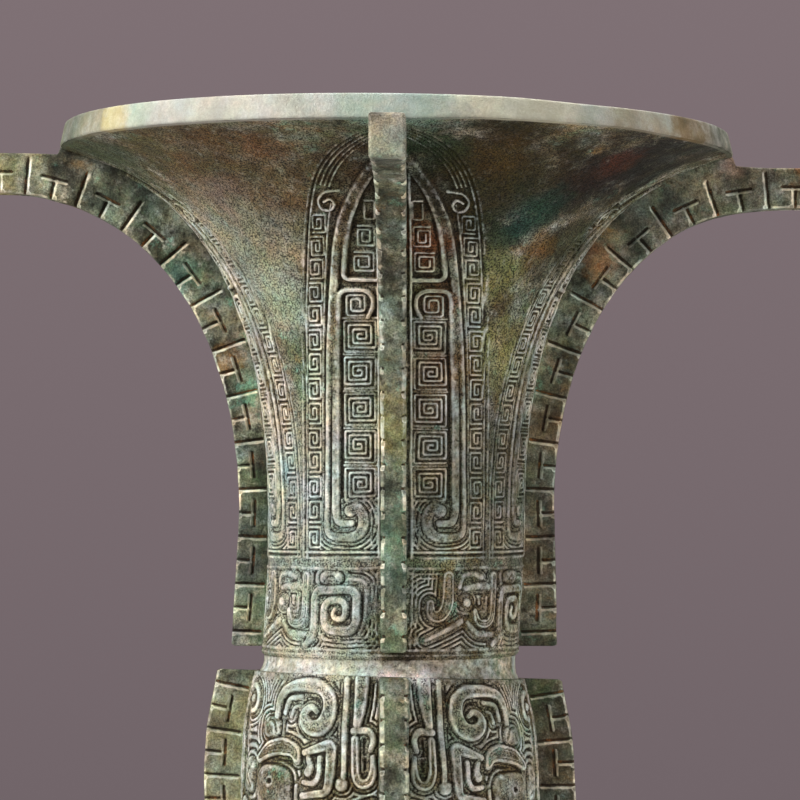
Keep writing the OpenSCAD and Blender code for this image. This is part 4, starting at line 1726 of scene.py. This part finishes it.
class Nodes:
    """The node tree of a material or a world, with short calls for the nodes it needs."""

    def __init__(self, owner: bpy.types.Material | bpy.types.World) -> None:
        """Start an empty tree with coordinates.

        Args:
            owner: The material or world.
        """
        self.owner = owner
        owner.use_nodes = True
        self.tree = owner.node_tree
        self.tree.nodes.clear()
        self.coordinates = self.add("TexCoord", {}).outputs
        self.place = self.coordinates["Object"]

    def add(self, kind: str, inputs: dict[str | int, object], **settings: str) -> bpy.types.Node:
        """Add a node.

        Args:
            kind: Its type, without the start that all have in common.
            inputs: Sockets or constants that feed its inputs, by name or number.
            settings: Its properties.

        Returns:
            The node.
        """
        node = self.tree.nodes.new("ShaderNode" + kind)
        for key, setting in settings.items():
            setattr(node, key, setting)
        for key, value in inputs.items():
            if isinstance(value, bpy.types.NodeSocket):
                self.tree.links.new(value, node.inputs[key])
            else:
                node.inputs[key].default_value = value
        return node

    def noise(self, cloud: Cloud) -> bpy.types.NodeSocket:
        """Cloudy noise in object space.

        Args:
            cloud: Its kind.

        Returns:
            The noise's value.
        """
        scale, detail, rough, shift, warp = cloud.value
        moved = self.add("Mapping", {"Vector": self.place, "Location": (shift, -0.7 * shift, 0.4 * shift)})
        node = self.add("TexNoise", {"Vector": moved.outputs["Vector"], "Scale": scale, "Detail": detail,
                                     "Roughness": rough, "Distortion": warp})
        return node.outputs["Fac"]

    def attribute(self, name: str) -> bpy.types.NodeSocket:
        """A value stored on the mesh."""
        return self.add("Attribute", {}, attribute_name=name).outputs["Fac"]

    def span(self, value: object, low: float, high: float, to_low: float = 0.0,
             to_high: float = 1.0) -> bpy.types.NodeSocket:
        """Stretch a range of a value to another range, clamped and eased."""
        ends = {"From Min": low, "From Max": high, "To Min": to_low, "To Max": to_high}
        return self.add("MapRange", {"Value": value, **ends}, interpolation_type="SMOOTHSTEP").outputs["Result"]

    def calc(self, operation: str, first: object, second: object) -> bpy.types.NodeSocket:
        """One step of arithmetic."""
        return self.add("Math", {0: first, 1: second}, operation=operation).outputs["Value"]

    def mix(self, share: object, first: object, second: object, blend: str = "MIX") -> bpy.types.NodeSocket:
        """Mix two colours, which are a mix node's inputs 6 and 7 and its output 2."""
        return self.add("Mix", {0: share, 6: first, 7: second}, data_type="RGBA", blend_type=blend).outputs[2]

    def distance_from(self, spot: Spot) -> bpy.types.NodeSocket:
        """Distance of the place from a spot given in millimetres, in metres."""
        spot_in_metres = tuple(c * MM for c in spot)
        return self.add("VectorMath", {0: self.place, 1: spot_in_metres}, operation="DISTANCE").outputs["Value"]

    def radius(self) -> bpy.types.NodeSocket:
        """Distance of the place from the vessel's axis, in metres."""
        flat = self.add("VectorMath", {0: self.place, 1: (1, 1, 0)}, operation="MULTIPLY").outputs["Vector"]
        return self.add("VectorMath", {0: flat}, operation="LENGTH").outputs["Value"]

    def finish(self, colour: bpy.types.NodeSocket, rough: object, metal: float, specular: float,
               bump: bpy.types.NodeSocket, bump_depth: float) -> bpy.types.Material:
        """Close a material's tree with a principled shader.

        Args:
            colour: Base colour.
            rough: Roughness.
            metal: Metallic share.
            specular: Level of the clear reflection.
            bump: Height that roughens the shading.
            bump_depth: How deep the bumps are, in metres.

        Returns:
            The material.
        """
        grain = self.add("Bump", {"Strength": 1.0, "Distance": bump_depth, "Height": bump})
        shader = self.add("BsdfPrincipled", {"Base Color": colour, "Roughness": rough, "Metallic": metal,
                                             "Specular IOR Level": specular, "Normal": grain.outputs["Normal"]})
        self.add("OutputMaterial", {"Surface": shader.outputs[0]})
        return self.owner


@dataclass(frozen=True)
class Stain:
    """A patch of one colour round a spot on the vessel, at its strongest in its core."""

    spot: Spot
    reach: float
    colour: Colour
    strength: float
    core_share: float = 0.3


@dataclass(frozen=True)
class Patina:
    """Old bronze: mottled grey-green metal with earth in its recesses and pale ridges, worn and painted with highlight.
    """

    name: str
    body: Colour = (120, 120, 106)
    brown: Colour = (86, 74, 50)
    pale: Colour = (164, 164, 152)
    green: Colour = (78, 98, 70)
    turquoise: Colour = (108, 150, 130)
    ochre: Colour = (146, 110, 56)
    earth: Colour = (32, 25, 16)
    earth_tint: Colour = (48, 42, 26)
    # Pale colour of ridges and edges: wear and painted highlight together
    wear_and_highlight: Colour = (219, 218, 207)
    sunk_levels: Point = (-0.03, -0.3)
    sunk_patches: float = 0.9
    wear_and_highlight_levels: Point = (0.03, 0.3)
    mottle: float = 0.6
    green_share: float = 0.55
    ochre_share: float = 0.4
    blotch: float = 0.22
    grain: Point = (0.15, 1.95)
    silt: Colour = (70, 52, 30)
    silt_share: float = 0.3
    stains: tuple[Stain, ...] = ()
    films_and_shade: tuple[Stain, ...] = ()
    # Pale colour of the lip's outer edge: a painted highlight under the lip's spots
    rim: Colour = (160, 157, 146)
    rim_stains: tuple[Stain, ...] = ()
    rim_edge: Point = (97.6, 98.4)
    rim_share: float = 0.72
    fray: float = 0.14
    sunk_share: float = 0.94
    turquoise_share: float = 0.65
    pit_share: float = 2.5
    roughness: Point = (0.85, 0.55)
    metal: float = 0.08
    specular: float = 0.22
    bump_depth: float = 0.00025

    def material(self) -> bpy.types.Material:
        """Build the finish.

        Returns:
            A procedural material in object space, led by the relief stored on the mesh.
        """
        n = Nodes(bpy.data.materials.new(self.name))
        frayed = n.span(n.noise(Cloud.FRAY), 0.2, 0.8, -self.fray, self.fray)
        ragged = n.calc("ADD", n.attribute(RELIEF), frayed)
        grit = n.noise(Cloud.GRIT)
        colour = self._stained(n, self._mottled(n), self.stains)
        # Films lie over the relief marks, among them painted shade under the flare
        colour = self._weathered(n, colour, ragged)
        colour = self._tinted(n, self._stained(n, colour, self.films_and_shade))
        speckled = n.mix(1.0, colour, n.span(grit, 0.4, 0.6, *self.grain), "MULTIPLY")
        colour = n.mix(n.span(ragged, 0.0, 0.16, 0.0, 0.8), speckled, colour)
        # Painted highlight: the lip's outer edge is painted pale under its spots
        if self.rim_stains:
            lip = self._stained(n, srgb(*self.rim), self.rim_stains)
            inner, outer = self.rim_edge
            colour = n.mix(n.span(n.radius(), inner * MM, outer * MM, 0.0, self.rim_share), colour, lip)
        bump = n.calc("ADD", grit, n.calc("MULTIPLY", n.noise(Cloud.PITS), self.pit_share))
        rough = n.span(ragged, -0.2, 0.4, *self.roughness)
        return n.finish(colour, rough, self.metal, self.specular, bump, self.bump_depth)

    def _mottled(self, n: Nodes) -> bpy.types.NodeSocket:
        """The metal's clouds of brown, grey, green, turquoise and ochre.

        Args:
            n: The material's tree.

        Returns:
            The colour.
        """
        colour = n.mix(n.span(n.noise(Cloud.BODY), 0.36, 0.64), srgb(*self.brown), srgb(*self.body))
        layers = (
            (n.span(n.noise(Cloud.PALE), 0.5, 0.7), self.pale),
            (n.span(n.noise(Cloud.DARK), 0.5, 0.34, 0, self.mottle), self.earth_tint),
            (n.span(n.noise(Cloud.GREEN), 0.52, 0.66, 0, self.green_share), self.green),
            (n.span(n.noise(Cloud.TURQUOISE), 0.57, 0.68, 0, self.turquoise_share), self.turquoise),
            (n.span(n.noise(Cloud.OCHRE), 0.56, 0.68, 0, self.ochre_share), self.ochre),
        )
        for share, layer in layers:
            colour = n.mix(share, colour, srgb(*layer))
        return colour

    @staticmethod
    def _stained(n: Nodes, colour: object, stains: tuple[Stain, ...]) -> bpy.types.NodeSocket:
        """Lay stains on a colour, with ragged edges.

        Args:
            n: The material's tree.
            colour: What they are laid on.
            stains: The stains, in the order in which they are laid.

        Returns:
            The colour.
        """
        edge = n.span(n.noise(Cloud.STAIN), 0.2, 0.8, -0.5, 0.5)
        for stain in stains:
            reach = stain.reach * MM
            ragged = n.calc("ADD", n.distance_from(stain.spot), n.calc("MULTIPLY", edge, reach))
            share = n.span(ragged, reach, stain.core_share * reach, 0.0, stain.strength)
            colour = n.mix(share, colour, srgb(*stain.colour))
        return colour

    def _weathered(self, n: Nodes, colour: bpy.types.NodeSocket, ragged: bpy.types.NodeSocket) -> bpy.types.NodeSocket:
        """Fill the recesses with earth and paint fine ridges pale, wear and painted highlight together; broad tops keep
        more of their colour.

        Args:
            n: The material's tree.
            colour: The metal's colour.
            ragged: How far a place stands out, with frayed edges.

        Returns:
            The colour.
        """
        patch = n.span(n.noise(Cloud.EARTH), 0.35, 0.6, self.sunk_patches, 1.0)
        sunk = n.calc("MULTIPLY", n.span(ragged, *self.sunk_levels, 0.0, self.sunk_share), patch)
        silted = n.span(n.noise(Cloud.SILT), 0.5, 0.64, 0.0, self.silt_share)
        colour = n.mix(sunk, colour, n.mix(silted, srgb(*self.earth), srgb(*self.silt)))
        # Pale paint on ridges, strongest on fine lines and edges: wear and painted highlight
        patchy = n.span(n.noise(Cloud.WEAR), 0.34, 0.62, 0.4, 1.0)
        broad = n.calc("MULTIPLY", patchy, n.span(ragged, 0.34, 0.62, 1.0, 0.4))
        return n.mix(n.calc("MULTIPLY", n.span(ragged, *self.wear_and_highlight_levels), broad), colour, srgb(*self.wear_and_highlight))

    def _tinted(self, n: Nodes, colour: bpy.types.NodeSocket) -> bpy.types.NodeSocket:
        """Turn the colour from yellow to blue and from red to green by patches, and let them differ in brightness.

        Args:
            n: The material's tree.
            colour: The colour to tint.

        Returns:
            The colour.
        """
        tints = (
            (n.span(n.noise(Cloud.WARMTH), 0.3, 0.7), (1.06, 1.0, 0.82, 1), (0.92, 1.0, 1.18, 1)),
            (n.span(n.noise(Cloud.REDNESS), 0.33, 0.67), (1.13, 0.97, 0.92, 1), (0.87, 1.03, 0.98, 1)),
        )
        for share, first, second in tints:
            colour = n.mix(1.0, colour, n.mix(share, first, second), "MULTIPLY")
        depth = n.span(n.noise(Cloud.DEPTH), 0.32, 0.68, 1 - self.blotch, 1 + self.blotch)
        return n.mix(1.0, colour, depth, "MULTIPLY")


# Dust and spots in the groove over the belly and just above it, on both sides of the seam
DUST_STAINS = (
    Stain((-1, -38, 178.6), 6, (226, 210, 208), 0.9),
    Stain((8, -37, 178.2), 6, (226, 210, 208), 0.85),
    Stain((37, -7, 179), 6, (214, 200, 190), 0.8),
    Stain((3, -37, 184), 7, (44, 36, 26), 0.8),
    Stain((30.5, -21.5, 181), 6, (66, 100, 72), 0.75),
    Stain((-22, -30, 180), 20, (178, 176, 162), 0.5),
    Stain((-24, -29, 200), 16, (150, 168, 150), 0.45),
)
# Patches on the neck's metal, most of the broad ones first
NECK_STAINS = (
    Stain((-52, -58, 320), 46, (82, 63, 36), 0.8),
    Stain((-34, -76, 329), 10, (112, 76, 44), 0.4),
    Stain((-46, -30, 296), 34, (140, 136, 118), 0.7),
    Stain((-36, -36, 290), 12, (140, 160, 138), 0.5),
    Stain((-90, -25, 329), 30, (66, 74, 50), 0.7),
    Stain((26, -66, 322), 50, (32, 26, 9), 0.92),
    Stain((64, -48, 319), 34, (15, 10, 6), 0.96),
    Stain((32, -22, 240), 30, (80, 78, 60), 0.45),
    Stain((-30, -30, 222), 44, (124, 134, 130), 0.6),
    Stain((-10, -48, 300), 10, (104, 70, 38), 0.5),
    Stain((28, -72, 325), 15, (96, 72, 28), 0.5),
    Stain((10, -88, 330), 14, (46, 66, 44), 0.6),
    Stain((38, -48, 312), 17, (30, 62, 56), 0.75),
    Stain((41, -38, 305), 10, (112, 74, 40), 0.6),
    Stain((29, -41, 294), 14, (112, 116, 72), 0.55),
    Stain((29, -30, 272), 16, (128, 126, 78), 0.6),
    Stain((15, -36, 264), 15, (98, 70, 46), 0.55),
    Stain((10, -54, 304), 11, (110, 64, 36), 0.6),
    Stain((12, -44, 287), 9, (112, 70, 40), 0.55),
    Stain((-14, -74, 326), 16, (64, 46, 30), 0.6),
    Stain((2, -102, 340), 22, (150, 184, 166), 0.6),
    Stain((55, -84, 340), 16, (196, 182, 136), 0.5),
    *DUST_STAINS,
)
# Films on the neck that lie over its relief as well; the dark ones at the right of the flare, over the leaves' tips,
# are dark patina with painted shade from the flare
NECK_FILMS_AND_SHADE = (
    Stain((38, -66, 324), 34, (50, 42, 15), 0.72),
    Stain((60, -46, 323), 22, (34, 21, 15), 0.75),
    Stain((83, -36, 328), 30, (26, 26, 16), 0.8),
    Stain((64, -51, 326), 10, (84, 42, 20), 0.4),
    Stain((51, -27, 310), 21, (50, 50, 30), 0.85),
    Stain((40, -44, 312), 14, (22, 54, 44), 0.65),
    Stain((39, -34, 305), 9, (104, 74, 28), 0.6),
    Stain((12, -80, 327), 13, (30, 52, 32), 0.5),
    Stain((-88, -28, 329), 24, (60, 70, 46), 0.5),
    Stain((-70, -52, 327), 14, (84, 86, 48), 0.45),
    Stain((-50, -47, 319), 14, (112, 104, 98), 0.4),
    Stain((-40, -32, 292), 26, (102, 102, 90), 0.35),
    Stain((33, -24, 238), 34, (56, 56, 45), 0.45),
)
# Spots along the lip, from the left arm round the front to the right one
RIM_STAINS = (
    Stain((-99, -14, 337), 50, (70, 78, 58), 0.9),
    Stain((-86, -50, 337), 11, (122, 116, 84), 0.8),
    Stain((-78, -62, 338), 9, (192, 172, 110), 0.85),
    Stain((-71, -70, 339), 7, (150, 176, 156), 0.65),
    Stain((-40, -90, 339), 40, (184, 179, 170), 0.5),
    Stain((2, -100, 339), 30, (136, 156, 145), 0.75),
    Stain((38, -92, 338), 26, (206, 200, 174), 0.75),
    Stain((56, -83, 337), 9, (144, 166, 154), 0.5),
    Stain((70, -71, 336), 20, (144, 132, 106), 0.75),
    Stain((86, -52, 335), 18, (126, 98, 46), 0.85),
    Stain((99, -10, 334), 46, (84, 90, 72), 0.85),
)
# Patches on the flanges of all tiers
FLANGE_STAINS = (
    Stain((0, -47, 253), 15, (150, 140, 84), 0.6),
    Stain((-50, 0, 272), 7, (176, 122, 62), 0.5),
    Stain((-66, 0, 297), 10, (104, 146, 128), 0.45),
    Stain((-125, 0, 325), 22, (150, 142, 104), 0.6),
    Stain((47, 0, 215), 22, (92, 70, 50), 0.4),
    Stain((47, 0, 250), 12, (112, 78, 44), 0.5),
    Stain((0, -47, 215), 16, (74, 104, 84), 0.5),
    Stain((0, -46, 285), 14, (66, 58, 40), 0.6),
    Stain((-40, 0, 205), 18, (98, 116, 94), 0.3),
    Stain((60, -4, 301), 8, (150, 92, 44), 0.6),
    Stain((124, -4, 328), 9, (168, 112, 60), 0.6),
    Stain((98.5, -4, 329.5), 5, (214, 190, 176), 0.75),
    Stain((92, 0, 318), 44, (106, 97, 83), 0.45),
    Stain((50, 0, 235), 55, (106, 98, 82), 0.4),
    Stain((-54, 0, 146), 42, (150, 144, 110), 0.55),
    Stain((54, 0, 146), 42, (66, 58, 44), 0.6),
)
# The pale face of the front arm's tip
FLANGE_FILMS = (
    Stain((0, -130, 327), 17, (134, 133, 118), 0.92),
)


@dataclass(frozen=True)
class Lamp:
    """A square soft box: where it hangs, what it points at and its side, in millimetres, and its power in watts."""

    name: str
    spot: Spot
    aim: Spot
    size: float
    power: float

    def build(self) -> None:
        """Hang the lamp."""
        data = bpy.data.lights.new(self.name, "AREA")
        data.size = self.size * MM
        data.energy = self.power
        lamp = bpy.data.objects.new(self.name, data)
        lamp.location = Vector(self.spot) * MM
        lamp.rotation_euler = (Vector(self.aim) - Vector(self.spot)).to_track_quat("-Z", "Y").to_euler()
        bpy.context.scene.collection.objects.link(lamp)


@dataclass
class Studio:
    """Camera, soft light and floor.

    The camera stands where the photographer stood: a little right of the front flange, level with the neck.
    """

    distance: float = 1012.0
    eye_level: float = 231.4
    bearing: float = 1.1
    focal_pixels: float = 3400.0
    image_pixels: float = 800.0
    horizon_row: float = 496.0
    axis_column: float = 396.5
    sensor: float = 36.0
    floor_reach: float = 1200.0
    floor_fade: Point = (0.35, 1.1)
    floor_colours: tuple[Colour, Colour] = ((206, 202, 200), (212, 208, 206))
    backdrop: Colour = (113, 101, 105)
    backdrop_top: Colour = (127, 113, 117)
    backdrop_levels: Point = (-0.09, 0.15)
    even_light: tuple[float, float, float, float] = (0.25, 0.245, 0.24, 1)
    lamps: tuple[Lamp, ...] = (Lamp("key", (-1150, -620, 840), (0, 0, 240), 380, 25),
                               Lamp("fill", (1100, -900, 420), (0, 0, 220), 900, 8.0),
                               Lamp("top", (100, 250, 1250), (0, 0, 260), 700, 14))

    def build(self) -> None:
        """Make the camera, the lamps, the floor and the world."""
        self._camera()
        for lamp in self.lamps:
            lamp.build()
        self._floor()
        self._world()

    def _camera(self) -> None:
        """The photograph's camera."""
        data = bpy.data.cameras.new("camera")
        data.sensor_width = self.sensor
        data.lens = self.focal_pixels / self.image_pixels * self.sensor
        camera = bpy.data.objects.new("camera", data)
        bearing = math.radians(self.bearing)
        camera.location = Vector((math.sin(bearing), -math.cos(bearing), 0)) * self.distance * MM
        camera.location.z = self.eye_level * MM
        yaw = bearing - math.atan((self.image_pixels / 2 - self.axis_column) / self.focal_pixels)
        tilt = math.atan((self.horizon_row - self.image_pixels / 2) / self.focal_pixels)
        look = Vector((-math.sin(yaw) * math.cos(tilt), math.cos(yaw) * math.cos(tilt), math.sin(tilt)))
        camera.rotation_mode = "QUATERNION"
        camera.rotation_quaternion = look.to_track_quat("-Z", "Y")
        bpy.context.scene.collection.objects.link(camera)
        bpy.context.scene.camera = camera

    def _floor(self) -> None:
        """A pale round floor that fades into the backdrop's colour at its edge."""
        bm = bmesh.new()
        bmesh.ops.create_circle(bm, cap_ends=True, segments=96, radius=self.floor_reach * MM)
        mesh = bpy.data.meshes.new("floor")
        bm.to_mesh(mesh)
        bm.free()
        floor = bpy.data.objects.new("floor", mesh)
        bpy.context.scene.collection.objects.link(floor)
        n = Nodes(bpy.data.materials.new("floor_pale"))
        dark, light = (srgb(*c) for c in self.floor_colours)
        matt = n.add("BsdfDiffuse", {"Color": n.mix(n.noise(Cloud.FLOOR), dark, light)})
        glow = n.add("Emission", {"Color": srgb(*self.backdrop)})
        fade = n.span(n.distance_from((0, 0, 0)), *self.floor_fade)
        blend = n.add("MixShader", {0: fade, 1: matt.outputs[0], 2: glow.outputs[0]})
        n.add("OutputMaterial", {"Surface": blend.outputs[0]})
        mesh.materials.append(n.owner)

    def _world(self) -> None:
        """A grey-mauve backdrop for the eye and for reflections, and even light for everything else."""
        n = Nodes(bpy.data.worlds.new("studio"))
        bpy.context.scene.world = n.owner
        rays = n.add("LightPath", {}).outputs
        either = rays["Is Camera Ray"]
        for key in ("Is Glossy Ray", "Is Transmission Ray"):
            either = n.calc("MAXIMUM", either, rays[key])
        level = n.add("SeparateXYZ", {0: n.coordinates["Generated"]}).outputs["Z"]
        low, high = self.backdrop_levels
        fade = n.add("MapRange", {"Value": level, "From Min": low, "From Max": high}).outputs["Result"]
        seen = n.add("Background", {"Color": n.mix(fade, srgb(*self.backdrop), srgb(*self.backdrop_top))})
        light = n.add("Background", {"Color": self.even_light})
        blend = n.add("MixShader", {0: either, 1: light.outputs[0], 2: seen.outputs[0]})
        n.add("OutputWorld", {"Surface": blend.outputs[0]})


def dress_plain_node(name: str, material: bpy.types.Material) -> None:
    """Give a node that stays as it is a finish.

    Args:
        name: The node's name.
        material: The finish.
    """
    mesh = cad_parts[name].data
    mesh.materials.clear()
    mesh.materials.append(material)
    LOG.info("%s: kept", name)


def main() -> None:
    """Build the vessel, dress it and set the studio."""
    logging.basicConfig(level=logging.INFO, format="%(message)s")
    bpy.context.scene.view_settings.view_transform = "Standard"
    leaf, band, mask = LeafPanel().build(), DragonBand().build(), MaskPanel().build()
    neck_patina = Patina("neck_patina", stains=NECK_STAINS, films_and_shade=NECK_FILMS_AND_SHADE, rim_stains=RIM_STAINS).material()
    belly_patina = Patina("belly_patina", stains=DUST_STAINS).material()
    foot_patina = Patina("foot_patina").material()
    flange_patina = Patina("flange_patina", body=(121, 126, 108), brown=(66, 64, 50), earth=(40, 29, 18),
                           earth_tint=(38, 35, 24), wear_and_highlight=(220, 214, 194), sunk_levels=(-0.1, -0.4), mottle=0.85,
                           blotch=0.6, grain=(0.65, 1.35), silt=(132, 86, 44), silt_share=0.75,
                           stains=FLANGE_STAINS, films_and_shade=FLANGE_FILMS).material()
    lean = Lean()
    Neck().build(leaf, band, neck_patina, lean)
    Belly().build(mask, belly_patina, lean)
    Foot().build(mask, band, foot_patina)
    FlangeTiers().build(flange_patina, lean)
    dress_plain_node("vessel_floor", Patina("floor_patina", body=(92, 86, 68), pale=(112, 108, 92)).material())
    dress_plain_node("casting_spacers", Patina("spacer_bronze", body=(128, 98, 62), brown=(96, 66, 40)).material())
    Studio().build()


if __name__ == "__main__":
    main()
